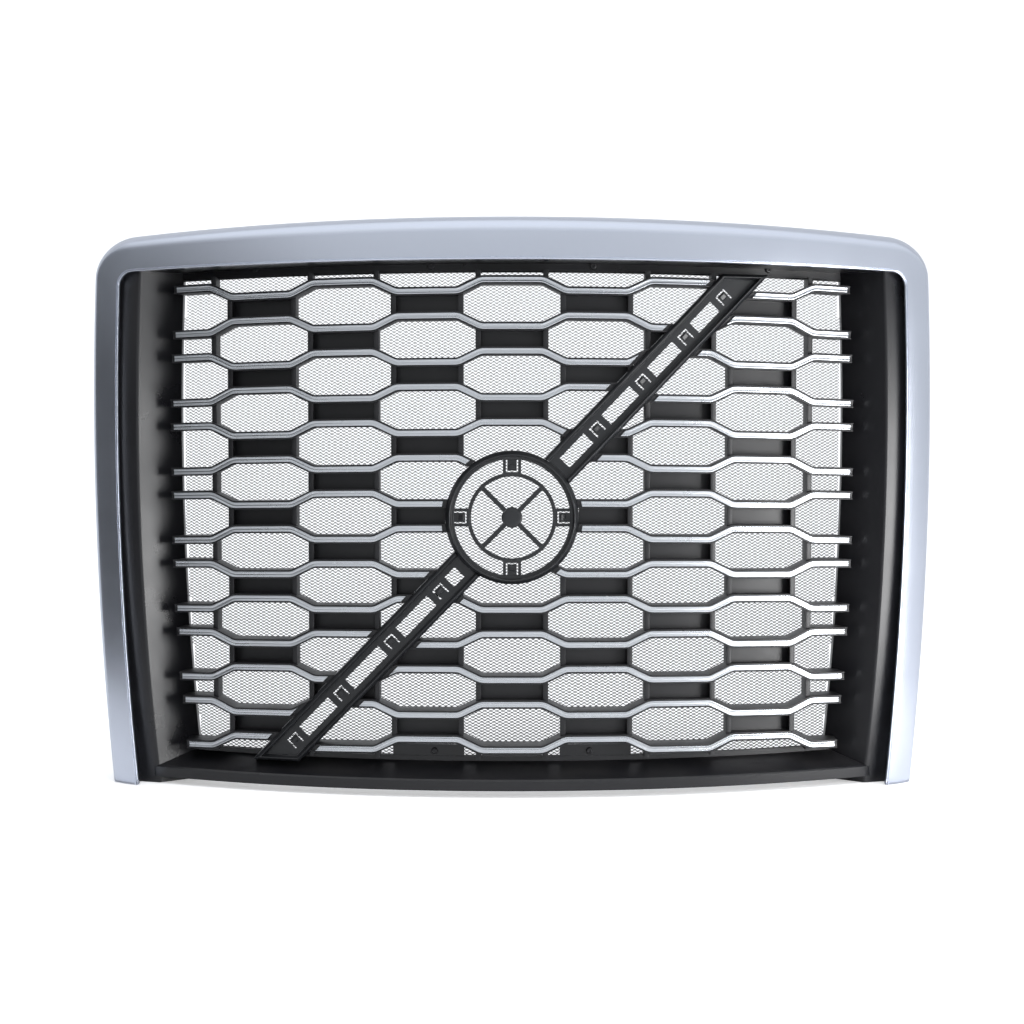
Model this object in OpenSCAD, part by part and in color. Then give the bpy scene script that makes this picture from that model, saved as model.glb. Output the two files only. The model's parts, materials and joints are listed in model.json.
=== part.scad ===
// Front grille of a heavy truck: a curved surround, a black moulded bezel in four
// pieces, a honeycomb insert of fourteen wavy bars with a trim strip in each bar, two
// diagonal badge rails and a round badge hub, a bug screen behind, and the fasteners.
//
// Layout: X runs across, Y runs rearward and Z up. The shapes are drawn with Z = 0 at
// the leg ends and Y = 0 at the front of the surround, then placed() moves them so that
// the origin is the centre of the four hood mounting holes.
// Everything curved in plan is concentric about one upright axis, so a depth is given
// as a distance behind the front face, measured towards that axis.

/* [Overall] */
// Overall width at the widest height
overall_w = 1150; // [1140:2:1160]
// Overall height, from the leg ends to the top of the arch
overall_h = 761; // [758:1:764]
// Plan radius of the front face
face_r = 1130; // [1128:1:1132]
// Plan depth from the front of the surround to the hood mounting plane
mount_depth = 230; // [228:1:232]

/* [Surround] */
// Width of each leg, seen from the front
leg_w = 39; // [36:1:41]
// Height of the opening at its middle
opening_h = 702.6; // [702:0.1:703]
// Wall of the moulded surround
surround_wall = 3; // [2.5:0.1:3.2]
// Radius of the top outer corners
corner_r = 60; // [50:1:70]
// Depth of the outer return, from the front face
return_depth = 76; // [70:1:80]

/* [Insert] */
// Number of wavy bars
bar_count = 14; // [14:1:14]
// Height of the top bar's centre line
top_bar_z = 666; // [665:0.5:667]
// Height from one bar to the next
bar_pitch = 46.6; // [46.4:0.1:46.8]
// Half the length of the longest bar
bar_half = 466; // [464:1:467]
// Wave height, from the middle to a crest
wave_amp = 7.2; // [6:0.1:8]
// Length from one crest to the next
wave_len = 224; // [222:1:226]
// Height of a bar's front face
bar_h = 11.5; // [11:0.1:12]
// How far the bars stand behind the front face
bar_front = 45; // [44:0.5:46]
// Depth of the bars
bar_depth = 45; // [44:0.5:46]
// Height of a trim strip
trim_h = 7.4; // [7:0.1:7.8]

/* [Badge carrier] */
// Height of the hub's centre
hub_z = 368; // [366:1:370]
// Outer radius of the hub
hub_r = 88; // [86:0.5:89]
// Slope of the diagonal rails
rail_angle = 46; // [45:0.5:46.5]
// Width of a rail
rail_w = 46; // [44:0.5:46]

/* [Fasteners] */
// Radius of the hood mounting holes, clearance for M6
hood_hole_r = 3.3; // [3.2:0.1:3.5]
// Hood hole spacing across
hood_span_x = 1092; // [1090:1:1094]
// Hood hole spacing in height
hood_span_z = 420; // [400:5:440]

/* [Hidden] */
trim_names = [for (side = ["left", "right"], i = [1:bar_count])
    str("trim_", side, i < 10 ? "_0" : "_", i)];

fine = 256;                       // segments of the long curves
round = 48;                       // segments of screws and holes
clear = 0.3;                      // gap between pieces that seat in each other
mount_z = 380;                    // height of the mounting pattern's centre
half_w = overall_w / 2;
widest_z = 490;                   // height at which the barrel is widest
side_r = 4460;                    // front-view radius of the outer edge
side_cx = half_w - side_r;        // centre of that edge, on the right-hand side
top_r = 9500;                     // front-view radius of the top edge
lintel_r = 21900;                 // front-view radius of the opening's top edge
opening_half = half_w - leg_w;
lip_depth = 11;                   // depth of the return round the opening
roll_z = 731;                     // height at which the top starts to roll back
roll_depth = 42;                  // how far the top rolls back
return_back = mount_depth - 8;    // the legs' rear edge, where the hood brackets lie
boss_r = 4;                       // screw bosses for the wings and the header
post_r = 6;                       // screw posts for the hood brackets

bar_back = bar_front + bar_depth;
slope_half = 15;                  // half the length of a slope, along X
bend = 0.3;                       // rounding of the bends, as a share of slope_half
bar_arch = 7;                     // rise of a bar's middle over its ends
channel_depth = 3;
rib_w = 7;
rib_x = 44.5;                     // from the middle of a narrow cell to a rib's middle
rib_front = bar_front + 8;
panel_front = bar_front + 22;
panel_t = 3;
frame_front = 85.2;               // front of the insert's own top and bottom strips
end_relief = 69;                  // depth from which the bars' ends clear the wings
flange_front = 81;                // front of the header's and the sill's flanges
flange_t = 3.7;
screen_front = bar_back + 0.3;
screen_t = 1.2;

rail_front = bar_front - 4;
rail_back = bar_back - 2;
rail_lip = 6;
rail_floor = bar_front + 5;
rail_floor_t = 3;
rail_top_z = 690;
rail_bottom_z = 39;
window_w = 18;
socket_w = 16;
upper_sockets = [162, 249, 331, 405];     // distances from the hub's centre
lower_sockets = [136, 230, 328, 419];
upper_windows = [[100, 145], [179, 232], [266, 314], [348, 388]];
lower_windows = [[100, 119], [153, 213], [247, 311], [345, 402]];
hub_front = bar_front - 7;
hub_wall = 7;                     // wall of the hub's rim
hub_floor_r = 77;                 // inner radius of the floor inside the rim
hub_socket_r = 68;                // circle of the badge's four sockets
hub_socket_l = 26;
hub_socket_w = 24;
hub_slot = 2.6;                   // width of a socket's slot in the hub
seat_r = 59;                      // outer radius of the badge's seat
seat_wall = 5;
hub_boss_r = 14;
spoke_w = 6;
screen_half = 462;
screen_low = 42;
screen_high = 704;

header_screw_x = [-374, -116, 116, 374];
header_screw_z = 700.5;
sill_screw_x = [-112, 112];
sill_screw_z = 53;
wing_screw_z = [115, 285, 455, 645];
lintel_screw_x = [-400, -150, 150, 400];
bracket_screw_z = [70, 380, 680];
rivet_rows = [2, 5, 10, 13];
rivet_x = [-336, -112, 112, 336];
rivet_hole_r = 1.6;
screw_pass_r = 2.7;               // clearance for the insert's screws
screw_pilot_r = 2.1;
small_pass_r = 2.2;               // clearance for the surround's screws
small_pilot_r = 1.9;
bracket_pass_r = 2.4;
bracket_pilot_r = 2.1;
bracket_w = 41;
bracket_t = 3;
pad_r = 14;                       // raised pad round a hood bolt
pad_h = 6.5;
hood_hole_z = [mount_z - hood_span_z / 2, mount_z + hood_span_z / 2];

// ---- outlines seen from the front ----

// Half-width at height z of an edge that is `half` wide at the widest height
function edge_x(half, z) = side_cx + sqrt(pow(half - side_cx, 2) - pow(z - widest_z, 2));

// Height at x of an arch with its crown at `crown` and the given radius
function arch_z(crown, radius, x) = crown - radius + sqrt(radius * radius - x * x);

// Inverted-U outline with barrel sides, an arched top and round corners
function inverted_u(half, crown, radius, corner, foot) =
    let (z0 = crown - corner - 13,
         cx = edge_x(half - corner, z0),
         cz = arch_z(crown - corner, radius - corner, cx),
         lean = asin((cz - widest_z) / side_r),
         tilt = asin(cx / radius),
         sides = 12, turns = 8, tops = 14,
         right = concat(
             [for (i = [0:sides - 1]) let (z = foot + (cz - foot) * i / sides)
                 [edge_x(half, z), z]],
             [for (i = [0:turns]) let (a = lean + (90 - tilt - lean) * i / turns)
                 [cx + corner * cos(a), cz + corner * sin(a)]],
             [for (i = [1:tops]) let (x = cx * (1 - i / tops))
                 [x, arch_z(crown, radius, x)]]))
    concat(right, [for (i = [len(right) - 2:-1:0]) [-right[i][0], right[i][1]]]);

module outer_outline(inset = 0, foot = 0) {
    polygon(inverted_u(half_w - inset, overall_h - inset, top_r - inset,
                       corner_r - inset, foot));
}

module opening_outline(grow = 0, foot = -5) {
    polygon(inverted_u(opening_half + grow, opening_h + grow, lintel_r + grow,
                       20 + grow, foot));
}

// ---- the wave of the bars ----

// A line that is level beyond 1 and -1, with its two corners rounded off
function soft_clamp(t) =
    abs(t) <= 1 - bend ? t :
    abs(t) >= 1 + bend ? sign(t) :
    sign(t) * (1 - pow(1 + bend - abs(t), 2) / (4 * bend));

// 1 on the crests of an odd bar and -1 in its troughs
function wave(x) =
    soft_clamp((abs(abs(x) % wave_len - wave_len / 2) - wave_len / 4) / slope_half);

function row_sign(row) = row % 2 == 1 ? 1 : -1;
function row_z(row) = top_bar_z - (row - 1) * bar_pitch;
function row_half(row) = row < 4 ? bar_half - 2 * (4 - row)
                       : row > 7 ? bar_half - 20 * pow((row - 7) / 7, 2) : bar_half;
function bar_z(row, x) =
    row_z(row) + bar_arch * (1 - pow(x / bar_half, 2)) + row_sign(row) * wave_amp * wave(x);

// Slope angle of a bar's centre line
function bar_lean(row, x) = atan(bar_z(row, x + 0.5) - bar_z(row, x - 0.5));

// Where a bar's outline needs points: the ends, and both corners of every slope
function bar_stations(half) =
    let (mids = [for (k = [-4:3]) wave_len / 4 + k * wave_len / 2],
         bends = [-1 - bend, -1 + bend, 1 - bend, 1 + bend])
    concat([-half],
           [for (m = mids, b = bends) if (abs(m + b * slope_half) < half - 2)
               m + b * slope_half],
           [half]);

// One bar's wavy band, of the given height, square to its centre line everywhere
module bar_band(row, h, half) {
    xs = bar_stations(half);
    function edge(x, s) = let (a = bar_lean(row, x))
        [x - s * sin(a) * h / 2, bar_z(row, x) + s * cos(a) * h / 2];
    polygon(concat([for (x = xs) edge(x, 1)],
                   [for (i = [len(xs) - 1:-1:0]) edge(xs[i], -1)]));
}

// ---- solids from front-view drawings ----

module placed() {
    translate([0, -mount_depth, -mount_z]) children();
}

// A front-view drawing carried straight back from in front of the part to `back`
module through(back = 240) {
    translate([0, back, 0]) rotate([90, 0, 0]) linear_extrude(back + 20) children();
}

// Everything from `front` to `back` behind the front face, as a curved slab
module slab(front, back) {
    translate([0, face_r, -20]) difference() {
        cylinder(r = face_r - front, h = 820, $fn = fine);
        translate([0, 0, -1]) cylinder(r = face_r - back, h = 822, $fn = fine);
    }
}

// A front-view drawing made as a curved plate between two depths
module curved(front, back, depth = 240) {
    intersection() {
        through(depth) children();
        slab(front, back);
    }
}

// A profile of depth behind the face and height, swept about the plan axis
module plan_sweep(points) {
    translate([0, face_r, 0]) rotate([0, 0, 242])
        rotate_extrude(angle = 56, $fn = fine)
            polygon([for (p = points) [face_r - p[0], p[1]]]);
}

// A plan section swept up along the right-hand barrel edge, between two heights
module barrel_sweep(points, z0, z1) {
    a0 = asin((z0 - widest_z) / side_r);
    a1 = asin((z1 - widest_z) / side_r);
    translate([side_cx, 0, widest_z]) rotate([90, -a0, 0]) mirror([0, 0, 1])
        rotate_extrude(angle = a1 - a0, $fn = fine)
            polygon([for (p = points) [p[0] - side_cx, p[1]]]);
}

// Puts a fastener drawn along +Z on the curved face, pointing to the rear
module on_face(x, z, depth) {
    translate([0, face_r, z]) rotate([0, 0, asin(x / face_r)])
        translate([0, depth - face_r, 0]) rotate([-90, 0, 0]) children();
}

module on_back(x, y, z) {
    translate([x, y, z]) rotate([-90, 0, 0]) children();
}

// ---- surround ----

// Solid body of revolution whose top edge rolls back, `inset` inside the outer skin
module rolled_body(inset) {
    translate([0, face_r, 0]) rotate_extrude($fn = fine)
        polygon([[0, -30], [face_r - inset, -30], [face_r - inset, roll_z - inset / 2],
                 [face_r - inset - roll_depth, overall_h + 1 - inset], [0, overall_h + 1 - inset]]);
}

module surround() {
    color([0.70, 0.72, 0.76]) placed() difference() {
        union() {
            surround_shell();
            surround_bosses();
        }
        surround_pilots();
    }
}

// The moulding: a full block, less the opening, the hollow behind the face, and the
// part of the opening's wall that lies deeper than its short return
module surround_shell() {
    difference() {
        intersection() {
            curved(-10, return_depth, return_back) outer_outline();
            rolled_body(0);
        }
        through() opening_outline();
        intersection() {
            through(260) difference() {
                outer_outline(surround_wall, -5);
                opening_outline(surround_wall, -10);
            }
            rolled_body(surround_wall);
        }
        curved(lip_depth, 140, 260) opening_outline(surround_wall + 1, -12);
    }
}

// Screw bosses behind the face: for the wings, the header and the hood brackets
module surround_bosses() {
    for (s = [-1, 1]) {
        for (z = wing_screw_z)
            curved(1, 60, wing_y - 0.2)
                translate([s * wing_screw_x(z), z]) circle(r = boss_r, $fn = round);
        for (z = bracket_screw_z)
            curved(1, 120, return_back - 0.2)
                translate([s * bracket_screw_x(z), z]) circle(r = post_r, $fn = round);
    }
    for (x = lintel_screw_x)
        curved(1, upstand_front - 0.2) translate([x, lintel_z(x)]) circle(r = boss_r, $fn = round);
}

module surround_pilots() {
    for (s = [-1, 1]) {
        for (z = wing_screw_z)
            on_back(s * wing_screw_x(z), wing_y - 8, z)
                cylinder(r = small_pilot_r, h = 20, $fn = round);
        for (z = bracket_screw_z)
            on_back(s * bracket_screw_x(z), return_back - 24, z)
                cylinder(r = bracket_pilot_r, h = 32, $fn = round);
    }
    for (x = lintel_screw_x)
        on_face(x, lintel_z(x), upstand_front - 8)
            cylinder(r = small_pilot_r, h = 20, $fn = round);
}

// ---- bezel ----

wing_y = 150.5;                   // plan depth of the wing's fixing flange
wing_ridge_x = opening_half - 26;
wing_inner_x = opening_half - 79;
upstand_front = 16;
header_drop = 9;                  // the header's flange below the opening's top edge
function wing_screw_x(z) = edge_x(opening_half + 5.5, z);
function bracket_screw_x(z) = edge_x(half_w - 13, z);
function lintel_z(x) = arch_z(opening_h, lintel_r, x) + 13;

module wing() {
    t = 3;
    difference() {
        barrel_sweep([[opening_half + 10, wing_y], [opening_half + 0.5, wing_y],
                      [opening_half - 2, 147.5], [wing_ridge_x + 1, 142.5],
                      [wing_ridge_x - 1, 143.2], [wing_inner_x, 185], [wing_inner_x, 200],
                      [wing_inner_x + t, 200], [wing_inner_x + t, 187],
                      [wing_ridge_x + 0.5, 146.5], [opening_half - 3, 151],
                      [opening_half - 0.5, wing_y + t], [opening_half + 10, wing_y + t]],
                     0, 712);
        curved(-10, lip_depth + clear) difference() {
            translate([-600, 670]) square([1200, 60]);
            opening_outline(-clear);
        }
        for (z = wing_screw_z)
            on_back(wing_screw_x(z), wing_y - 5, z)
                cylinder(r = small_pass_r, h = 20, $fn = round);
    }
}

// The room that a wing takes up, with clearance, cut from what meets it
module wing_room() {
    barrel_sweep([[opening_half + 60, 149.8], [opening_half + 0.4, 149.8],
                  [opening_half - 2, 147], [wing_ridge_x + 1, 142],
                  [wing_ridge_x - 1.4, 142.8], [wing_inner_x - 0.5, 184.6],
                  [wing_inner_x - 0.5, 240], [opening_half + 60, 240]],
                 -20, 740);
}

module both_wing_rooms() {
    wing_room();
    mirror([1, 0, 0]) wing_room();
}

module right_wing() {
    color([0.09, 0.09, 0.10]) placed() wing();
}

module left_wing() {
    color([0.09, 0.09, 0.10]) placed() mirror([1, 0, 0]) wing();
}

module header_band(low, high, half = 512) {
    n = 12;
    xs = [for (i = [0:n]) half * (1 - 2 * i / n)];
    polygon(concat([for (x = xs) [x, arch_z(opening_h, lintel_r, x) + low]],
                   [for (i = [n:-1:0]) [xs[i], arch_z(opening_h, lintel_r, xs[i]) + high]]));
}

module header_rail() {
    color([0.08, 0.08, 0.09]) placed() difference() {
        union() {
            curved(lip_depth + clear, flange_front + flange_t) header_band(1, 4);
            curved(upstand_front, upstand_front + 3) header_band(1, 24, 470);
            curved(flange_front, flange_front + flange_t) header_band(-header_drop, 4, 470);
        }
        both_wing_rooms();
        for (x = header_screw_x)
            on_face(x, header_screw_z, flange_front - 5)
                cylinder(r = screw_pass_r, h = 20, $fn = round);
        for (x = lintel_screw_x)
            on_face(x, lintel_z(x), upstand_front - 5)
                cylinder(r = small_pass_r, h = 20, $fn = round);
    }
}

module lower_sill() {
    color([0.09, 0.09, 0.10]) placed() difference() {
        union() {
            plan_sweep([[28, 9], [28, 22], [30, 24], [flange_front, 40], [flange_front, 46.5],
                        [flange_front + flange_t, 46.5], [flange_front + flange_t, 37],
                        [32, 20.5], [31, 19.5], [31, 9]]);
            for (x = sill_screw_x)
                curved(flange_front + 0.4, flange_front + flange_t - 0.4)
                    translate([x, 50]) square([96, 24], center = true);
        }
        both_wing_rooms();
        for (x = sill_screw_x)
            on_face(x, sill_screw_z, flange_front - 5)
                cylinder(r = screw_pass_r, h = 20, $fn = round);
    }
}

// ---- grille insert ----

// The diagonal band and the round of the badge carrier, seen from the front
module diagonal(width, from = -700, to = 700) {
    translate([0, hub_z]) rotate(rail_angle)
        translate([from, -width / 2]) square([to - from, width]);
}

module hub_disc(r) {
    translate([0, hub_z]) circle(r = r, $fn = fine);
}

// Everything between the rails' cut ends
module rail_span(extra = 0) {
    translate([-500, rail_bottom_z - extra])
        square([1000, rail_top_z - rail_bottom_z + 2 * extra]);
}

module badge_field(grow) {
    intersection() {
        diagonal(rail_w + 2 * grow);
        rail_span(grow);
    }
    hub_disc(hub_r + grow);
}

module windows_2d() {
    for (w = upper_windows) diagonal(window_w, w[0], w[1]);
    for (w = lower_windows) diagonal(window_w, -w[1], -w[0]);
}

// A rib across every narrow cell, or only one beside the ends
module cell_ribs(gap) {
    centres = gap % 2 == 1 ? [-336, -112, 112, 336] : [-448, -224, 0, 224, 448];
    for (c = centres, s = [-1, 1])
        if (abs(c + s * rib_x) < 430) rib(gap, c + s * rib_x);
}

module rib(gap, x) {
    low = bar_z(gap + 1, x);
    high = bar_z(gap, x);
    translate([x - rib_w / 2, low]) square([rib_w, high - low]);
}

// The plates that close the narrow cells, but for those against the wings
module cell_panels(gap) {
    centres = gap % 2 == 1 ? [-336, -112, 112, 336] : [-224, 0, 224];
    for (c = centres) {
        low = bar_z(gap + 1, c);
        translate([c - rib_x, low]) square([2 * rib_x, bar_z(gap, c) - low]);
    }
}

// Short ribs from the top bar up to the header and from the bottom bar to the sill
module end_ribs() {
    for (c = [-224, 0, 224, 448, -448], s = [-1, 1]) {
        x = c + s * rib_x;
        if (abs(x) < 430) {
            low = bar_z(1, x);
            top = arch_z(opening_h, lintel_r, x) - header_drop - clear;
            translate([x - rib_w / 2, low]) square([rib_w, top - low]);
            translate([x - rib_w / 2, 46.8]) square([rib_w, bar_z(bar_count, x) - 46.8]);
        }
    }
}

module insert_strips() {
    header_band(-header_drop - 1.5, 2, 460);
    translate([-445, 40.5]) square([890, 6.5]);
    for (x = sill_screw_x)
        translate([x, 53.5]) square([100, 26], center = true);
}

module grille_insert() {
    color([0.07, 0.07, 0.08]) placed() difference() {
        union() {
            curved(bar_front, bar_back)
                for (row = [1:bar_count]) bar_band(row, bar_h, row_half(row));
            curved(rib_front, bar_back - 0.4) {
                for (gap = [1:bar_count - 1]) cell_ribs(gap);
                end_ribs();
            }
            curved(panel_front, panel_front + panel_t)
                for (gap = [1:bar_count - 1]) cell_panels(gap);
            curved(frame_front, bar_back - 0.8) insert_strips();
        }
        curved(bar_front - 1, bar_front + channel_depth) difference() {
            for (row = [1:bar_count]) bar_band(row, trim_h + 2 * clear, row_half(row) - 4);
            badge_field(5);
        }
        through() badge_field(clear);
        curved(end_relief, 130, 260) beside_wings();
        insert_holes();
    }
}

module rivet_holes() {
    for (row = rivet_rows, x = rivet_x)
        on_face(x, bar_z(row, x), bar_back - 8) cylinder(r = rivet_hole_r, h = 20, $fn = round);
}

// Everything further out than the wings' inner flanges
module beside_wings() {
    difference() {
        translate([-600, -30]) square([1200, 830]);
        polygon(inverted_u(wing_inner_x - 0.7, 900, top_r, 20, -40));
    }
}

module insert_holes() {
    for (x = header_screw_x)
        on_face(x, header_screw_z, frame_front - 1)
            cylinder(r = screw_pilot_r, h = 10, $fn = round);
    for (x = sill_screw_x)
        on_face(x, sill_screw_z, frame_front - 1)
            cylinder(r = screw_pilot_r, h = 10, $fn = round);
    rivet_holes();
}

// ---- trim strips ----

// The strip in one bar, on the given side of the diagonal
module trim_strip(row, side) {
    color(side < 0 ? [0.62, 0.64, 0.67] : [0.74, 0.76, 0.79]) placed()
        curved(bar_front - 0.6, bar_front + channel_depth - 0.1) intersection() {
            difference() {
                bar_band(row, trim_h, row_half(row) - 4.3);
                badge_field(5.5);
            }
            translate([0, hub_z]) rotate(rail_angle)
                translate([-1000, side < 0 ? 0 : -2000]) square([2000, 2000]);
        }
}

// ---- badge carrier ----

module badge_rail(sockets, windows, side) {
    color([0.10, 0.10, 0.11]) placed() difference() {
        curved(rail_front, rail_back) difference() {
            intersection() {
                diagonal(rail_w, side > 0 ? 0 : -700, side > 0 ? 700 : 0);
                rail_span();
            }
            hub_disc(hub_r + clear);
        }
        curved(rail_front - 5, rail_floor) rail_pocket(side);
        curved(rail_floor + rail_floor_t, rail_back + 5) rail_pocket(side);
        through() {
            for (w = windows) diagonal(window_w, side > 0 ? w[0] : -w[1], side > 0 ? w[1] : -w[0]);
            for (d = sockets) socket_slot(side * d);
        }
    }
}

// The hollow between a rail's two side walls
module rail_pocket(side) {
    intersection() {
        diagonal(rail_w - 2 * rail_lip, side > 0 ? hub_r + 6 : -700, side > 0 ? 700 : -hub_r - 6);
        rail_span(-rail_lip);
    }
}

// A U-shaped slot round a springy tab, at a distance along the diagonal
module socket_slot(d) {
    slot = 3;
    translate([0, hub_z]) rotate(rail_angle) translate([d, 0]) socket_u(slot);
}

module socket_u(slot) {
    difference() {
        square([socket_w, socket_w], center = true);
        translate([0, -slot / 2 - 1]) square([socket_w - 2 * slot, socket_w - slot + 2], center = true);
    }
}

module upper_badge_rail() {
    badge_rail(upper_sockets, upper_windows, 1);
}

module lower_badge_rail() {
    badge_rail(lower_sockets, lower_windows, -1);
}

module badge_hub() {
    color([0.10, 0.10, 0.11]) placed() difference() {
        union() {
            curved(hub_front, rail_back) difference() {
                hub_disc(hub_r);
                hub_disc(hub_r - hub_wall);
            }
            curved(rail_floor, rail_floor + 4) difference() {
                hub_disc(hub_r - hub_wall + 1);
                hub_disc(hub_floor_r);
            }
            curved(rail_floor, rail_floor + 6) difference() {
                hub_disc(seat_r);
                hub_disc(seat_r - seat_wall);
            }
            curved(rail_floor, rail_floor + 4) difference() {
                for (a = [0:90:270])
                    translate([0, hub_z]) rotate(a) translate([hub_socket_r - 1, 0])
                        square([hub_socket_l, hub_socket_w], center = true);
                hub_disc(seat_r - 3);
            }
            curved(rail_floor, rail_floor + 5) union() {
                hub_disc(hub_boss_r);
                for (a = [45, 135])
                    translate([0, hub_z]) rotate(a)
                        square([2 * seat_r - 6, spoke_w], center = true);
            }
        }
        through() for (a = [0:90:270])
            translate([0, hub_z]) rotate(a) translate([hub_socket_r, 0]) rotate(90)
                socket_u(hub_slot);
    }
}

// ---- bug screen ----

module bug_screen() {
    color([0.35, 0.36, 0.38]) placed() difference() {
        curved(screen_front, screen_front + screen_t)
            translate([-screen_half, screen_low])
                square([2 * screen_half, screen_high - screen_low]);
        both_wing_rooms();
        rivet_holes();
    }
}

// ---- fasteners: head below the local origin, shank above it ----

module screw(head_r, head_h, shank_r, length) {
    translate([0, 0, -head_h]) cylinder(r = head_r, h = head_h, $fn = round);
    cylinder(r = shank_r, h = length, $fn = round);
}

module screen_rivets() {
    color([0.15, 0.15, 0.16]) placed()
        for (row = rivet_rows, x = rivet_x)
            on_face(x, bar_z(row, x), screen_front + screen_t + 0.3) mirror([0, 0, 1])
                screw(4, 1.6, 1.5, 8);
}

module header_screws() {
    color([0.12, 0.12, 0.13]) placed() for (x = header_screw_x)
        on_face(x, header_screw_z, flange_front - 0.2) screw(4.6, 2.6, 2, 12);
}

module sill_screws() {
    color([0.12, 0.12, 0.13]) placed() for (x = sill_screw_x)
        on_face(x, sill_screw_z, flange_front - 0.2) screw(4.6, 2.6, 2, 12);
}

module surround_screws() {
    color([0.55, 0.56, 0.58]) placed() {
        for (s = [-1, 1], z = wing_screw_z)
            on_back(s * wing_screw_x(z), wing_y + 3.1, z) mirror([0, 0, 1]) screw(4, 2.4, 1.8, 10);
        for (x = lintel_screw_x)
            on_face(x, lintel_z(x), upstand_front + 3.1) mirror([0, 0, 1]) screw(4, 2.4, 1.8, 10);
    }
}

module bracket_screws() {
    color([0.55, 0.56, 0.58]) placed() for (s = [-1, 1], z = bracket_screw_z)
        on_back(s * bracket_screw_x(z), mount_depth - 4.9, z) mirror([0, 0, 1])
            screw(5, 3, 2, 25);
}

// ---- hood brackets ----

// Steel strip on the back of a leg, with a raised pad round each hood bolt
module hood_bracket(s) {
    strip_y = return_back;
    outer = half_w - 4;
    color([0.25, 0.26, 0.28]) placed() difference() {
        union() {
            mirror([s < 0 ? 1 : 0, 0, 0])
                barrel_sweep([[outer - bracket_w, strip_y], [outer, strip_y],
                              [outer, strip_y + bracket_t],
                              [outer - bracket_w, strip_y + bracket_t]], 40, 720);
            for (z = hood_hole_z)
                on_back(s * hood_span_x / 2, strip_y + bracket_t / 2, z)
                    cylinder(r = pad_r, h = pad_h, $fn = round);
        }
        for (z = hood_hole_z)
            on_back(s * hood_span_x / 2, strip_y - 5, z)
                cylinder(r = hood_hole_r, h = 20, $fn = round);
        for (z = bracket_screw_z)
            on_back(s * bracket_screw_x(z), strip_y - 5, z)
                cylinder(r = bracket_pass_r, h = 20, $fn = round);
    }
}

module left_hood_bracket() {
    hood_bracket(-1);
}

module right_hood_bracket() {
    hood_bracket(1);
}

surround();
left_wing();
right_wing();
header_rail();
lower_sill();
grille_insert();
for (i = [1:bar_count]) {
    trim_strip(i, -1);
    trim_strip(i, 1);
}
upper_badge_rail();
lower_badge_rail();
badge_hub();
bug_screen();
screen_rivets();
header_screws();
sill_screws();
surround_screws();
bracket_screws();
left_hood_bracket();
right_hood_bracket();
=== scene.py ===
"""A heavy truck's front grille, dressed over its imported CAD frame.

Pieces are surfaces worked out as arrays. A front-view point (x, height) at a depth behind
the face lands on a cylinder about one upright axis, as every curved plate of the CAD does.
"""
import json
import math

import bpy
import numpy as np
from bpy.props import FloatProperty, FloatVectorProperty, IntProperty, PointerProperty
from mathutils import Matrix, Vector

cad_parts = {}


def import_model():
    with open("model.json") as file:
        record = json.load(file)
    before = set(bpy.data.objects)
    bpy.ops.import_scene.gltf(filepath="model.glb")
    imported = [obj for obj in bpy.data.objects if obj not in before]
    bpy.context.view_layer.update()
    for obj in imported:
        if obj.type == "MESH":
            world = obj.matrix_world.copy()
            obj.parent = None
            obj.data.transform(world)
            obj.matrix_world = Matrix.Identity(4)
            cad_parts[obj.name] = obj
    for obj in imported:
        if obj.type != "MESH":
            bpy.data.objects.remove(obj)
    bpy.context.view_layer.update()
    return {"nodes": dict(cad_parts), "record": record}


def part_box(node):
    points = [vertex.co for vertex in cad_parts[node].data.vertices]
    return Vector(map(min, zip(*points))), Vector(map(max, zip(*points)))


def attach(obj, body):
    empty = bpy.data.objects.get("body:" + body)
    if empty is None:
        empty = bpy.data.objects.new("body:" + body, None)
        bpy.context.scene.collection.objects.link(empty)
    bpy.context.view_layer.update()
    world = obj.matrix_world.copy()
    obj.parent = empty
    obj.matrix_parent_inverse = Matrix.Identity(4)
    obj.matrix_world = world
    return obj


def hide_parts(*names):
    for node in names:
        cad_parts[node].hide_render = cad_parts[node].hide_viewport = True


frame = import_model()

bl_info = {
    "name": "Truck Front Grille",
    "version": (1, 0, 0),
    "blender": (4, 5, 0),
    "location": "View3D > Sidebar > Grille",
    "description": "Builds the surround, trims, honeycomb, badge carrier and bug screen of a truck grille",
    "category": "Add Mesh",
}

LOW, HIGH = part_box("surround")
FRONT = LOW.y                        # the face at its middle
FOOT = LOW.z                         # the leg ends
HALF = (HIGH.x - LOW.x) / 2
HEIGHT = HIGH.z - LOW.z
MM = 0.001

TOP_RADIUS, LINTEL_RADIUS = 9.5, 21.9            # front-view radii of the surround's two arches
RAIL_HALF, HUB = 0.023, 0.088                    # half a rail's width, and the hub's radius
RAIL_ENDS = (0.039, 0.690)                       # heights of the rails' level cut ends
UPPER_WINDOWS = ((0.100, 0.145), (0.179, 0.232), (0.266, 0.314), (0.348, 0.388))
LOWER_WINDOWS = ((0.100, 0.119), (0.153, 0.213), (0.247, 0.311), (0.345, 0.402))
UPPER_SOCKETS = (0.162, 0.249, 0.331, 0.405)     # from the hub's centre, as the windows are
LOWER_SOCKETS = (0.136, 0.230, 0.328, 0.419)
WINDOW_HALF, SOCKET_HALF = 0.009, 0.008
HUB_SOCKETS = 0.068                              # radius of the hub's circle of sockets
RIB_LIMIT = 0.430                                # no rib stands further out than this
HEADER_SCREWS, SILL_SCREWS = (-0.374, -0.116, 0.116, 0.374), (-0.112, 0.112)
HEADER_SCREW_HEIGHT, SILL_SCREW_HEIGHT = 0.7005, 0.053
STRIP_FRONT, STRIP_BACK = 0.0852, 0.0892         # depths of the insert's edge strips
SILL_STRIP = (0.0405, 0.047)                     # heights of the lower one
SCREEN_HEIGHTS = (0.0435, 0.7025)
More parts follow.
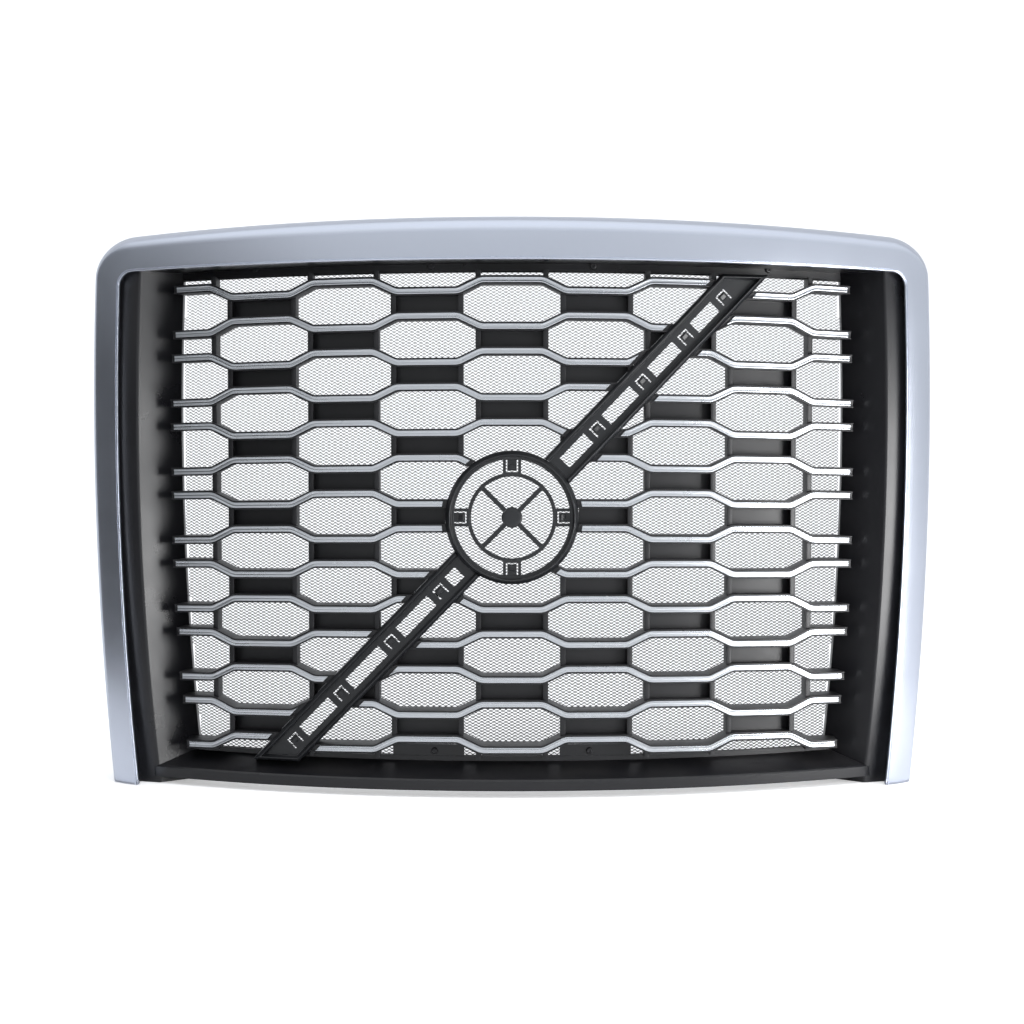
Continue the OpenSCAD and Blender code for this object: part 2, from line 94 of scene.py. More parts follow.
SCREEN_DEPTH, SCREEN_START, SCREEN_HALF = 0.0910, 0.044, 0.4562


def length(name, words, value):
    """A size in metres, given here in millimetres."""
    return FloatProperty(name=name, description=words, default=value * MM, min=0.0,
                         precision=4, unit="LENGTH")


def share(name, words, value):
    return FloatProperty(name=name, description=words, default=value, min=0.0, max=1.0,
                         subtype="FACTOR")


def colour(name, words, rgb):
    return FloatVectorProperty(name=name, description=words, default=rgb, min=0.0, max=1.0,
                               size=3, subtype="COLOR")


# ---- sizes and colours ----

class GrillePlan(bpy.types.PropertyGroup):
    """The curves that all the pieces share."""
    face_radius: length("Face radius", "Plan radius of the front face", 1130)
    side_radius: length("Side radius", "Front-view radius of the barrel sides", 4460)
    widest: length("Widest height", "Height at which the sides stand furthest out", 490)
    rear: length("Leg depth", "Plan depth of the rear edge of the legs", 222)
    hub_height: length("Hub height", "Height of the hub's centre", 368)
    slope: FloatProperty(name="Rail slope", description="Slope of the diagonal rails",
                         default=math.radians(46), subtype="ANGLE")


class GrilleSurround(bpy.types.PropertyGroup):
    """The painted moulding round the opening."""
    leg: length("Leg width", "Width of a leg seen from the front", 39)
    opening: length("Opening height", "Height of the opening at its middle", 702.6)
    corner: length("Corner radius", "Radius of the top outer corners", 60)
    inner_corner: length("Opening corner", "Radius of the opening's corners", 20)
    wall: length("Wall", "Thickness of the moulding", 3)
    roll_width: length("Top roll width", "Width of the rolled edge along the top", 19)
    roll_depth: length("Top roll depth", "Depth of the rolled edge along the top", 42)
    leg_roll_width: length("Leg roll width", "Width of the rolled edge along a leg", 6)
    leg_roll_depth: length("Leg roll depth", "Depth of the rolled edge along a leg", 12)
    skirt: length("Outer return", "Depth of the outer wall behind the face", 76)
    lip: length("Inner return", "Depth of the wall round the opening", 11)
    leg_tilt: length("Leg tilt", "How far a leg's face falls back towards its outer edge", 3.5)
    top_tilt: length("Top tilt", "How far the top's face falls back towards its upper edge", 1.0)
    bead: length("Bead", "Width of the bead round the opening", 2.6)


class GrilleBars(bpy.types.PropertyGroup):
    """The wavy bars of the insert, their ribs and their trim strips."""
    count: IntProperty(name="Bars", description="Number of bars", default=14, min=1, max=20)
    top: length("Top bar", "Height of the top bar's centre line", 666)
    pitch: length("Pitch", "Height from one bar to the next", 46.6)
    half: length("Half length", "Half the length of the longest bar", 466)
    wave: length("Wave", "Height from the middle of a bar to a crest", 7.2)
    wave_length: length("Wave length", "Length from one crest to the next", 224)
    slope: length("Slope", "Half the length of a slope along the bar", 15)
    arch: length("Arch", "Rise of a bar's middle over its ends", 7)
    height: length("Height", "Height of a bar's front face", 11.5)
    front: length("Front", "Depth of the bars' front behind the face", 45)
    back: length("Back", "Depth of the bars' back behind the face", 90)
    channel: length("Channel", "Depth of the channel that takes the trim", 3)
    trim: length("Trim height", "Height of a trim strip", 7.4)
    rib: length("Rib width", "Width of an upright rib", 7)
    rib_offset: length("Rib offset", "From the middle of a narrow cell to a rib", 44.5)
    rib_front: length("Rib front", "Depth of the ribs' front behind the face", 53)
    panel_front: length("Panel front", "Depth of the closed cells' panels", 67)
    panel: length("Panel", "Thickness of the closed cells' panels", 3)


class GrilleScreen(bpy.types.PropertyGroup):
    """The expanded metal behind the bars."""
    cell_width: length("Cell width", "Width of a diamond", 8.1)
    cell_height: length("Cell height", "Height of a diamond", 4.2)
    strand: length("Strand", "Width of a strand", 1.6)
    sheet: length("Sheet", "Thickness of the metal", 0.25)
    tilt: FloatProperty(name="Strand tilt", description="Tilt of the strands from upright",
                        default=math.radians(68), subtype="ANGLE")
    sections: IntProperty(name="Sections", description="Pieces the screen is split into",
                          default=4, min=4, max=8)


class GrilleColours(bpy.types.PropertyGroup):
    """Base colours of the finishes."""
    silver: colour("Silver paint", "Painted surround", (0.66, 0.70, 0.80))
    trim: colour("Trim silver", "Trim strips in the bars", (0.62, 0.64, 0.67))
    bezel: colour("Bezel black", "Moulded bezel", (0.010, 0.010, 0.012))
    insert: colour("Insert black", "Moulded honeycomb", (0.008, 0.008, 0.010))
    carrier: colour("Carrier black", "Badge rails and hub", (0.012, 0.013, 0.015))
    screen: colour("Screen metal", "Expanded metal", (0.055, 0.056, 0.060))
    screw: colour("Blackened screw", "Blackened fasteners", (0.030, 0.030, 0.033))
    zinc: colour("Zinc", "Plated screws", (0.55, 0.55, 0.56))
    bracket: colour("Bracket steel", "Coated brackets", (0.055, 0.058, 0.064))
    dust: colour("Dust", "Pale road dust", (0.34, 0.32, 0.29))


def settings(group):
    return getattr(bpy.context.scene, "grille_" + group)


# ---- the shared curves ----

def on_face(x, depth, height):
    """World points of front-view points: y = axis - sqrt((radius - depth)^2 - x^2)."""
    radius = settings("plan").face_radius
    y = FRONT + radius - np.sqrt((radius - depth) ** 2 - x ** 2)
    return np.stack(np.broadcast_arrays(x, y, FOOT + height), axis=-1)


def edge_x(half, height):
    """Half-width of a barrel edge: circles about one centre, `half` wide at the widest height."""
    plan = settings("plan")
    centre = HALF - plan.side_radius
    return centre + np.sqrt((half - centre) ** 2 - (height - plan.widest) ** 2)


def arch(crown, radius, x):
    """Height of an arch with its crown at `crown`."""
    return crown - radius + np.sqrt(radius ** 2 - x ** 2)


def lintel(x):
    """Height of the opening's top edge."""
    return arch(settings("surround").opening, LINTEL_RADIUS, x)


def smooth(t):
    """0 below 0, 1 above 1, and 3t^2 - 2t^3 between."""
    t = np.clip(t, 0, 1)
    return t * t * (3 - 2 * t)


def rounded(corners, closed=True, steps=4):
    """Profile with each corner (a, b, radius) turned on a quadratic curve: it leaves one
    side `radius` before the corner and joins the next `radius` after it."""
    corners = np.asarray(corners, float) * MM
    points, count = [], len(corners)
    t = np.linspace(0, 1, steps)[:, None]
    for i, (a, b, r) in enumerate(corners):
        here = np.array([a, b])
        if r == 0 or not closed and i in (0, count - 1):
            points.append(here[None])
            continue
        before = corners[i - 1, :2] - here
        after = corners[(i + 1) % count, :2] - here
        start = here + before / np.linalg.norm(before) * r
        end = here + after / np.linalg.norm(after) * r
        points.append((1 - t) ** 2 * start + 2 * t * (1 - t) * here + t ** 2 * end)
    return np.concatenate(points)


# ---- meshes from arrays ----

def signed_volume(points, quads, ends=()):
    """Six times the volume inside closed faces: a . (b x c + c x d) over the quads, and fans
    over the end rings. It's below zero where the faces look inwards."""
    a, b, c, d = (points[quads[:, k]] for k in range(4))
    volume = np.einsum("ij,ij->i", a, np.cross(b, c) + np.cross(c, d)).sum()
    for end in ends:
        fan = points[end]
        volume += np.einsum("ij,ij->i", fan[:1].repeat(len(fan) - 2, 0),
                            np.cross(fan[1:-1], fan[2:])).sum()
    return volume


def turned_out(points, quads):
    """A closed shell without end rings, with its faces looking outwards."""
    return points, quads[:, ::-1] if signed_volume(points, quads) < 0 else quads, []


def grid(points, wrap_v=False, caps=False, flip=False):
    """Faces of a grid of points (rows, columns, 3): vertices, quads, and the end rings.
    wrap_v joins the last column to the first, and caps closes both ends of such a tube."""
    rows, columns = points.shape[:2]
    index = np.arange(rows * columns).reshape(rows, columns)
    ring = np.hstack([index, index[:, :1]]) if wrap_v else index
    quads = np.stack([ring[:-1, :-1], ring[1:, :-1], ring[1:, 1:], ring[:-1, 1:]], -1)
    quads = quads.reshape(-1, 4)
    ends = [index[0], index[-1][::-1]] if caps else []
    points = points.reshape(-1, 3)
    if caps:
        flip = signed_volume(points, quads, ends) < 0
    if flip:
        quads, ends = quads[:, ::-1], [end[::-1] for end in ends]
    return points, quads, ends


def mesh_of(name, shells):
    """One mesh of several grids, each moved on past the vertices of those before it."""
    points = np.concatenate([s[0] for s in shells])
    starts = np.cumsum([0] + [len(s[0]) for s in shells[:-1]])
    quads = np.concatenate([s[1] + k for s, k in zip(shells, starts)])
    ends = [end + k for s, k in zip(shells, starts) for end in s[2]]
    loops = np.concatenate([quads.ravel()] + ends).astype(np.int32)
    sizes = np.concatenate([np.full(len(quads), 4), [len(e) for e in ends]]).astype(np.int32)
    mesh = bpy.data.meshes.new(name)
    mesh.vertices.add(len(points))
    mesh.vertices.foreach_set("co", points.astype(np.float32).ravel())
    mesh.loops.add(len(loops))
    mesh.loops.foreach_set("vertex_index", loops)
    mesh.polygons.add(len(sizes))
    starts = np.concatenate([[0], np.cumsum(sizes)[:-1]]).astype(np.int32)
    mesh.polygons.foreach_set("loop_start", starts)
    mesh.polygons.foreach_set("use_smooth", np.ones(len(sizes), bool))
    mesh.update(calc_edges=True)
    mesh.validate()
    return mesh


def piece(name, shells, slot, nodes=(), sharp=35):
    """A new object from grids: smooth but for edges over `sharp` degrees, in the finish of
    its slot, riding on the only body, and standing for the given CAD nodes."""
    mesh = mesh_of(name, shells)
    mesh.set_sharp_from_angle(angle=math.radians(sharp))
    made = bpy.data.objects.new(name, mesh)
    bpy.context.scene.collection.objects.link(made)
    mesh.materials.append(finish(slot))
    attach(made, "root")
    if nodes:
        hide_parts(*nodes)
    return made


def dress(node):
    """Gives a CAD node the finish of its own slot."""
    made = frame["nodes"][node]
    slots = {p["node"]: p["material_slot"] for p in frame["record"]["subparts"]}
    material = finish(slots[node])
    if made.data.materials:
        for k in range(len(made.data.materials)):
            made.data.materials[k] = material
    else:
        made.data.materials.append(material)


# ---- shader groups ----

def shader_group(name, inputs, outputs):
    """An empty node group with named sockets, or None if it's already made."""
    if name in bpy.data.node_groups:
        return None
    tree = bpy.data.node_groups.new(name, "ShaderNodeTree")
    for label, kind in inputs:
        tree.interface.new_socket(label, in_out="INPUT", socket_type=kind)
    for label, kind in outputs:
        tree.interface.new_socket(label, in_out="OUTPUT", socket_type=kind)
    return tree


FLOAT, COLOR, VECTOR = "NodeSocketFloat", "NodeSocketColor", "NodeSocketVector"


def add(tree, kind, links=(), **values):
    """A node with its properties set, and its inputs linked or given values."""
    node = tree.nodes.new(kind)
    for key, value in values.items():
        setattr(node, key, value)
    for socket, source in dict(links).items():
        if hasattr(source, "is_output"):
            tree.links.new(source, node.inputs[socket])
        else:
            node.inputs[socket].default_value = source
    return node


def placed_group(tree, name, links=()):
    return add(tree, "ShaderNodeGroup", links, node_tree=bpy.data.node_groups[name])


def product(tree, a, b):
    return add(tree, "ShaderNodeMath", {0: a, 1: b}, operation="MULTIPLY").outputs[0]


def noise(tree, vector, scale, **settings_of):
    """The factor of a noise texture."""
    links = {"Vector": vector, "Scale": scale}
    links.update({name.title(): value for name, value in settings_of.items()})
    return add(tree, "ShaderNodeTexNoise", links).outputs["Fac"]


def cover(tree, mask, base, over, sink):
    """Lays one colour over another by a mask, and hands both on to a group's outputs."""
    mix = add(tree, "ShaderNodeMix", {0: mask, 6: base, 7: over}, data_type="RGBA")
    tree.links.new(mix.outputs[2], sink.inputs["Color"])
    tree.links.new(mask, sink.inputs["Mask"])


def moulded_grain():
    """Fine pebbled grain: the distance to the nearest cell over a slower noise."""
    tree = shader_group("moulded_grain", [("Vector", VECTOR), ("Scale", FLOAT)], [("Height", FLOAT)])
    if not tree:
        return
    source, sink = tree.nodes.new("NodeGroupInput"), tree.nodes.new("NodeGroupOutput")
    cells = add(tree, "ShaderNodeTexVoronoi",
                {"Vector": source.outputs["Vector"], "Scale": source.outputs["Scale"]})
    slower = product(tree, source.outputs["Scale"], 0.35)
    cloud = noise(tree, source.outputs["Vector"], slower, detail=3.0)
    both = add(tree, "ShaderNodeMath", {0: cells.outputs["Distance"], 1: cloud}, operation="ADD")
    tree.links.new(both.outputs[0], sink.inputs["Height"])


def paint_flake():
    """Metal flake under lacquer: one random tone a cell, and a soft orange peel height."""
    tree = shader_group("paint_flake", [("Vector", VECTOR), ("Scale", FLOAT), ("Color", COLOR),
                                        ("Spread", FLOAT)], [("Color", COLOR), ("Height", FLOAT)])
    if not tree:
        return
    source, sink = tree.nodes.new("NodeGroupInput"), tree.nodes.new("NodeGroupOutput")
    cells = add(tree, "ShaderNodeTexVoronoi",
                {"Vector": source.outputs["Vector"], "Scale": source.outputs["Scale"]})
    tone = add(tree, "ShaderNodeSeparateColor", {"Color": cells.outputs["Color"]})
    level = add(tree, "ShaderNodeMath", {0: tone.outputs[0], 1: 0.5}, operation="SUBTRACT")
    spread = add(tree, "ShaderNodeMath", {0: level.outputs[0], 1: source.outputs["Spread"], 2: 1.0},
                 operation="MULTIPLY_ADD")
    shade = add(tree, "ShaderNodeVectorMath", {0: source.outputs["Color"]}, operation="SCALE")
    tree.links.new(spread.outputs[0], shade.inputs["Scale"])
    slower = product(tree, source.outputs["Scale"], 0.04)
    peel = noise(tree, source.outputs["Vector"], slower, detail=1.0)
    tree.links.new(shade.outputs[0], sink.inputs["Color"])
    tree.links.new(peel, sink.inputs["Height"])


def edge_wear():
    """Rubbed edges: where the rounded normal leaves the flat one, broken up by noise."""
    tree = shader_group("edge_wear", [("Vector", VECTOR), ("Color", COLOR), ("Worn", COLOR),
                                      ("Amount", FLOAT)], [("Color", COLOR), ("Mask", FLOAT)])
    if not tree:
        return
    source, sink = tree.nodes.new("NodeGroupInput"), tree.nodes.new("NodeGroupOutput")
    bevel = add(tree, "ShaderNodeBevel", {"Radius": 0.0008}, samples=4)
    flat = add(tree, "ShaderNodeNewGeometry")
    cosine = add(tree, "ShaderNodeVectorMath", {0: bevel.outputs[0], 1: flat.outputs["Normal"]},
                 operation="DOT_PRODUCT")
    edge = add(tree, "ShaderNodeMapRange", {"Value": cosine.outputs["Value"], "From Min": 0.99,
                                            "From Max": 0.80})
    cloud = noise(tree, source.outputs["Vector"], 90.0, detail=4.0)
    patchy = add(tree, "ShaderNodeMapRange", {"Value": cloud, "From Min": 0.42, "From Max": 0.62})
    rubbed = product(tree, edge.outputs[0], patchy.outputs[0])
    mask = product(tree, rubbed, source.outputs["Amount"])
    cover(tree, mask, source.outputs["Color"], source.outputs["Worn"], sink)


def settled_dust():
    """Dust on faces that look up: the normal's height times a soft noise."""
    tree = shader_group("settled_dust", [("Vector", VECTOR), ("Color", COLOR), ("Dust", COLOR),
                                         ("Amount", FLOAT)], [("Color", COLOR), ("Mask", FLOAT)])
    if not tree:
        return
    source, sink = tree.nodes.new("NodeGroupInput"), tree.nodes.new("NodeGroupOutput")
    flat = add(tree, "ShaderNodeNewGeometry")
    axes = add(tree, "ShaderNodeSeparateXYZ", {0: flat.outputs["Normal"]})
    up = add(tree, "ShaderNodeMapRange", {"Value": axes.outputs["Z"], "From Min": 0.1,
                                          "From Max": 1.0, "To Min": 0.15})
    cloud = noise(tree, source.outputs["Vector"], 14.0, detail=6.0)
    soft = add(tree, "ShaderNodeMapRange", {"Value": cloud, "From Min": 0.35, "From Max": 0.75})
    lying = product(tree, up.outputs[0], soft.outputs[0])
    mask = product(tree, lying, source.outputs["Amount"])
    cover(tree, mask, source.outputs["Color"], source.outputs["Dust"], sink)


def handled_gloss():
    """Roughness between two levels: a slow noise with a little fine noise in it."""
    tree = shader_group("handled_gloss", [("Vector", VECTOR), ("Low", FLOAT), ("High", FLOAT)],
                        [("Roughness", FLOAT)])
    if not tree:
        return
    source, sink = tree.nodes.new("NodeGroupInput"), tree.nodes.new("NodeGroupOutput")
    cloud = noise(tree, source.outputs["Vector"], 9.0, detail=8.0, roughness=0.6)
    level = add(tree, "ShaderNodeMapRange", {"Value": cloud, "From Min": 0.3, "From Max": 0.7,
                                             "To Min": source.outputs["Low"],
                                             "To Max": source.outputs["High"]})
    tree.links.new(level.outputs[0], sink.inputs["Roughness"])


# ---- finishes: one for each material slot ----

FINISHES = {
    # slot: colour, metallic, roughness low and high, grain scale, bump, flake, wear, dust
    "silver_paint": ("silver", 0.95, 0.22, 0.27, 0, 0.0, 0.08, 0.0, 0.0),
    "trim_silver": ("trim", 1.0, 0.24, 0.32, 0, 0.0, 0.04, 0.0, 0.0),
    "bezel_black": ("bezel", 0.0, 0.26, 0.34, 1400, 0.08, 0.0, 0.20, 0.04),
    "insert_black": ("insert", 0.0, 0.36, 0.50, 1200, 0.12, 0.0, 0.15, 0.05),
    "carrier_black": ("carrier", 0.0, 0.30, 0.42, 1200, 0.10, 0.0, 0.25, 0.04),
    "screen_mesh": ("screen", 0.30, 0.38, 0.55, 0, 0.0, 0.10, 0.0, 0.02),
    "fastener_black": ("screw", 0.35, 0.32, 0.48, 2500, 0.10, 0.0, 0.5, 0.10),
    "zinc_steel": ("zinc", 1.0, 0.28, 0.42, 0, 0.05, 0.2, 0.0, 0.06),
    "bracket_steel": ("bracket", 0.10, 0.42, 0.55, 900, 0.10, 0.0, 0.4, 0.12),
}


def finish(slot):
    """The procedural material of a slot: flake or grain, edge wear, dust and uneven gloss."""
    name = "finish_" + slot
    if name in bpy.data.materials:
        return bpy.data.materials[name]
    base, metallic, low, high, grain, bump, flake, wear, dust = FINISHES[slot]
    colours = settings("colours")
    material = bpy.data.materials.new(name)
    material.use_nodes = True
    tree = material.node_tree
    tree.nodes.clear()
    place = add(tree, "ShaderNodeTexCoord").outputs["Object"]
    rgb = (*getattr(colours, base), 1)
    if flake:
        skin = placed_group(tree, "paint_flake", {"Vector": place, "Scale": 2600.0, "Color": rgb,
                                                  "Spread": flake})
        height, tint = skin.outputs["Height"], skin.outputs["Color"]
    else:
        skin = placed_group(tree, "moulded_grain", {"Vector": place, "Scale": float(grain)})
        height, tint = skin.outputs["Height"], rgb
    if wear:
        worn = placed_group(tree, "edge_wear", {"Vector": place, "Color": tint, "Amount": wear,
                                                "Worn": (0.30, 0.30, 0.31, 1)})
        tint = worn.outputs["Color"]
    dusty = placed_group(tree, "settled_dust", {"Vector": place, "Color": tint,
                                                "Dust": (*colours.dust, 1), "Amount": dust})
    gloss = placed_group(tree, "handled_gloss", {"Vector": place, "Low": low, "High": high})
    relief = add(tree, "ShaderNodeBump", {"Height": height, "Strength": bump, "Distance": 0.0004})
    if wear:
        rounding = add(tree, "ShaderNodeBevel", {"Radius": 0.0006}, samples=4)
        tree.links.new(rounding.outputs[0], relief.inputs["Normal"])
    shader = add(tree, "ShaderNodeBsdfPrincipled", {
        "Base Color": dusty.outputs["Color"], "Metallic": metallic,
        "Roughness": gloss.outputs["Roughness"], "Normal": relief.outputs[0]})
    add(tree, "ShaderNodeOutputMaterial", {"Surface": shader.outputs[0]})
    return material


# ---- surround ----

def inverted_u(half, crown, radius, corner, foot=0.0):
    """Half outline from the right foot over to the left one, with a value from 0 on the
    sides to 1 on the top: a barrel side, a quarter turn of the corner radius, an arched top."""
    plan = settings("plan")
    rise = crown - corner - 0.013
    centre_x = edge_x(half - corner, rise)
    centre_z = arch(crown - corner, radius - corner, centre_x)
    lean = np.arcsin((centre_z - plan.widest) / plan.side_radius)
    tilt = np.arcsin(centre_x / radius)
    side_z = np.linspace(foot, centre_z, 72)[:-1]
    turn = np.linspace(0, 1, 25)
    angle = lean + (math.pi / 2 - tilt - lean) * turn
    top_x = centre_x * (1 - np.linspace(0, 1, 60)[1:])
    right = np.concatenate([
        np.stack([edge_x(half, side_z), side_z], 1),
        np.stack([centre_x + corner * np.cos(angle), centre_z + corner * np.sin(angle)], 1),
        np.stack([top_x, arch(crown, radius, top_x)], 1)])
    topness = np.concatenate([np.zeros(len(side_z)), smooth(turn), np.ones(len(top_x))])
    left = right[-2::-1] * [-1, 1]
    return np.concatenate([right, left]), np.concatenate([topness, topness[-2::-1]])


def surround_shell():
    """The painted skin. Across each point of the outline, from outside to inside: an outer
    wall, an elliptical roll that meets the face at a soft crease, a face that falls back
    on a parabola, a small groove, a half-round bead, and the return round the opening. The
    roll is wide along the top and narrow on the legs."""
    s, plan = settings("surround"), settings("plan")
    foot = 0.2 * s.wall
    outer, top = inverted_u(HALF, HEIGHT, TOP_RADIUS, s.corner, foot)
    inner, _ = inverted_u(HALF - s.leg, s.opening, LINTEL_RADIUS, s.inner_corner, foot)
    across = inner - outer
    width = np.linalg.norm(across, axis=1)
    across = across / width[:, None]
    roll_w = s.leg_roll_width + (s.roll_width - s.leg_roll_width) * top
    roll_d = s.leg_roll_depth + (s.roll_depth - s.leg_roll_depth) * top
    leg_rear = plan.face_radius - np.hypot(outer[:, 0], plan.face_radius - plan.rear)
    rear = np.minimum(s.skirt, leg_rear)
    zero = np.zeros_like(width)
    tilt = s.leg_tilt + (s.top_tilt - s.leg_tilt) * top
    columns = [(zero, rear + (roll_d - rear) * t) for t in np.linspace(0, 1, 5)]
    most = math.radians(80)
    columns += [(roll_w * (1 - math.cos(a)) / (1 - math.cos(most)),
                 tilt + (roll_d - tilt) * (1 - math.sin(a) / math.sin(most)))
                for a in np.linspace(0, most, 13)[1:]]
    flat_end = width - s.bead - 0.0006
    columns += [(roll_w + (flat_end - roll_w) * t, tilt * (1 - t) ** 2)
                for t in np.linspace(0, 1, 11)[1:]]
    groove = 0.0007
    columns.append((width - s.bead, zero + groove))
    radius = s.bead / 2
    columns += [(width - radius - radius * math.cos(a), zero + groove - 0.0006 * math.sin(a))
                for a in np.linspace(0.3, math.pi / 2, 5)]
    columns += [(width - radius + radius * math.sin(a), zero + 0.0001 + radius * (1 - math.cos(a)))
                for a in np.linspace(0, math.pi / 2, 6)[1:]]
    columns += [(width, zero + s.lip * t) for t in (0.5, 1.0)]
    w = np.stack([c[0] for c in columns], 1)
    depth = np.stack([c[1] for c in columns], 1)
    x = outer[:, :1] + across[:, :1] * w
    z = outer[:, 1:] + across[:, 1:] * w
    return grid(on_face(x, depth, z))


# ---- bezel wings ----

def wing(side):
    """A plan section (x at the widest height, plan depth) carried up the barrel edge: each
    point keeps its plan depth, and its x follows a circle about the sides' centre."""
    opening = (HALF - settings("surround").leg) / MM
    ridge, inner, flange = opening - 26, opening - 79, 150.5
    section = rounded([
        (opening + 10, flange, 0), (opening + 0.5, flange, 0.3), (opening - 2, 149.6, 0.8),
        (ridge + 1.2, 142.3, 1.1), (ridge - 1.2, 143.2, 1.1), (inner, 185, 1.2), (inner, 200, 0),
        (inner + 3, 200, 0), (inner + 3, 187, 1), (ridge + 0.5, 146.6, 1),
        (opening - 3, 152.6, 0.8), (opening - 0.5, flange + 3, 0.3), (opening + 10, flange + 3, 0)])
    height = np.linspace(0, 0.7115, 90)[:, None]
    x = edge_x(section[None, :, 0], height) * side
    y = np.broadcast_to(FRONT + section[None, :, 1], x.shape)
    z = np.broadcast_to(FOOT + height, x.shape)
    return grid(np.stack([x, y, z], -1), wrap_v=True, caps=True)


# ---- wavy bars ----

def soft_clamp(t, bend=0.3):
    """Level beyond 1 and -1, straight between, with both corners rounded on parabolas."""
    size = np.abs(t)
    bent = np.sign(t) * (1 - (1 + bend - size) ** 2 / (4 * bend))
    return np.where(size <= 1 - bend, t, np.where(size >= 1 + bend, np.sign(t), bent))


def bar_line(row, x):
    """Height of a bar's centre line: its row, an arch, and a wave with level crests that
    odd and even rows carry in opposite directions."""
    b = settings("bars")
    fold = np.abs(np.mod(np.abs(x), b.wave_length) - b.wave_length / 2) - b.wave_length / 4
    sign = 1 if row % 2 else -1
    return (b.top - (row - 1) * b.pitch + b.arch * (1 - (x / b.half) ** 2)
            + sign * b.wave * soft_clamp(fold / b.slope))


def bar_reach(row):
    """Half the length of a bar: the top ones and the low ones are shorter."""
    b = settings("bars")
    if row < 4:
        return b.half - 0.002 * (4 - row)
    return b.half - 0.020 * max(0, (row - 7) / 7) ** 2


def in_badge(x, height, grow):
    """Whether front-view points lie in the diagonal band or the hub's round, grown a little."""
    plan = settings("plan")
    low, high = RAIL_ENDS
    rise = height - plan.hub_height
    across = rise * math.cos(plan.slope) - x * math.sin(plan.slope)
    band = (np.abs(across) < RAIL_HALF + grow) & (height > low - grow) & (height < high + grow)
    return band | (np.hypot(x, rise) < HUB + grow)


def wing_limit(depth):
    """The x at which a depth behind the face meets the wing's slope, found by halving."""
    opening = HALF - settings("surround").leg
    radius = settings("plan").face_radius
    low, high = np.full_like(depth, 0.44), np.full_like(depth, 0.51)
    for _ in range(24):
        x = (low + high) / 2
        bar_y = radius - np.sqrt((radius - depth) ** 2 - x ** 2)
        wing_y = 0.1428 + np.maximum(opening - 0.026 - x, 0) * (42.5 / 53)
        free = bar_y < wing_y
        low, high = np.where(free, x, low), np.where(free, high, x)
    return low - 0.0006


def bar_run(row, side, profile, clearance, outer_trim, step=0.0026):
    """One bar's part on a side of the diagonal: a closed profile (across, depth) set square
    to the wavy line. Every profile point starts and ends where its own line leaves the wing
    or the badge's field, and these shifts fade out over the last 32 mm."""
    across, depth = profile[:, 0], profile[:, 1]
    reach = bar_reach(row) - outer_trim
    outer = np.full_like(depth, -reach)
    if outer_trim == 0:
        outer = -np.minimum(reach, wing_limit(depth))
    fine = np.linspace(-reach, reach, 4200)
    slope = np.gradient(bar_line(row, fine), fine)
    lean = np.arctan(slope)
    x = fine[:, None] - across * np.sin(lean)[:, None]
    z = bar_line(row, fine)[:, None] + across * np.cos(lean)[:, None]
    blocked = in_badge(x, z, clearance)
    first = np.where(side < 0, np.argmax(blocked, 0), 0)
    last = len(fine) - 1 - np.argmax(blocked[::-1], 0)
    if side < 0:
        start, end = outer, fine[first]
    else:
        start, end = fine[last], -outer
    middle_start, middle_end = np.median(start), np.median(end)
    count = max(int((middle_end - middle_start) / step), 8)
    run = np.linspace(middle_start, middle_end, count)
    fade = min(0.032, (middle_end - middle_start) / 2)
    near_start = smooth(1 - (run - middle_start) / fade)[:, None]
    near_end = smooth(1 - (middle_end - run) / fade)[:, None]
    along = run[:, None] + near_start * (start - middle_start) + near_end * (end - middle_end)
    lean = np.arctan(np.interp(along, fine, slope))
    x = along - across * np.sin(lean)
    z = bar_line(row, along) + across * np.cos(lean)
    return grid(on_face(x, depth, z), wrap_v=True, caps=True)


def bar_profile():
    """A bar's section: two rounded lips with the trim's channel between, and a drafted body."""
    b = settings("bars")
    top, inside, front, back = (v / MM for v in (b.height / 2, b.trim / 2 + 0.0003, b.front, b.back))
    floor = front + b.channel / MM
    return rounded([
        (top, front, 0.7), (inside + 0.1, front, 0.25), (inside, floor, 0.2), (-inside, floor, 0.2),
        (-inside - 0.1, front, 0.25), (-top, front, 0.7), (-top + 0.5, back, 0.3),
        (top - 0.5, back, 0.3)], steps=3)


def trim_profile():
    """A trim strip's section: two bright raised edges with a shallow hollow between."""
    b = settings("bars")
    half, front = b.trim / 2 / MM, b.front / MM - 0.6
    return rounded([
        (half, front + 3.4, 0), (half, front + 0.5, 0.4), (half - 0.8, front, 0.4),
        (half - 1.7, front + 0.15, 0.3), (half - 2.3, front + 0.9, 0.5),
        (-half + 2.3, front + 0.9, 0.5), (-half + 1.7, front + 0.15, 0.3),
        (-half + 0.8, front, 0.4), (-half, front + 0.5, 0.4),
        (-half, front + 3.4, 0)], steps=3)


# ---- ribs and panels ----

def badge_gap(x, grow):
    """Heights between which the badge's field stands at x: the band's and the round's."""
    plan = settings("plan")
    middle = plan.hub_height + x * math.tan(plan.slope)
    half = (RAIL_HALF + grow) / math.cos(plan.slope)
    low = np.maximum(middle - half, RAIL_ENDS[0] - grow)
    high = np.minimum(middle + half, RAIL_ENDS[1] + grow)
    round_half = np.sqrt(np.maximum((HUB + grow) ** 2 - x ** 2, 0))
    near = (np.abs(x) < HUB + grow) & (np.abs(middle - plan.hub_height) < HUB + half)
    low = np.where(near, np.minimum(low, plan.hub_height - round_half), low)
    high = np.where(near, np.maximum(high, plan.hub_height + round_half), high)
    empty = high <= low
    return np.where(empty, 9.0, low), np.where(empty, 9.0, high)


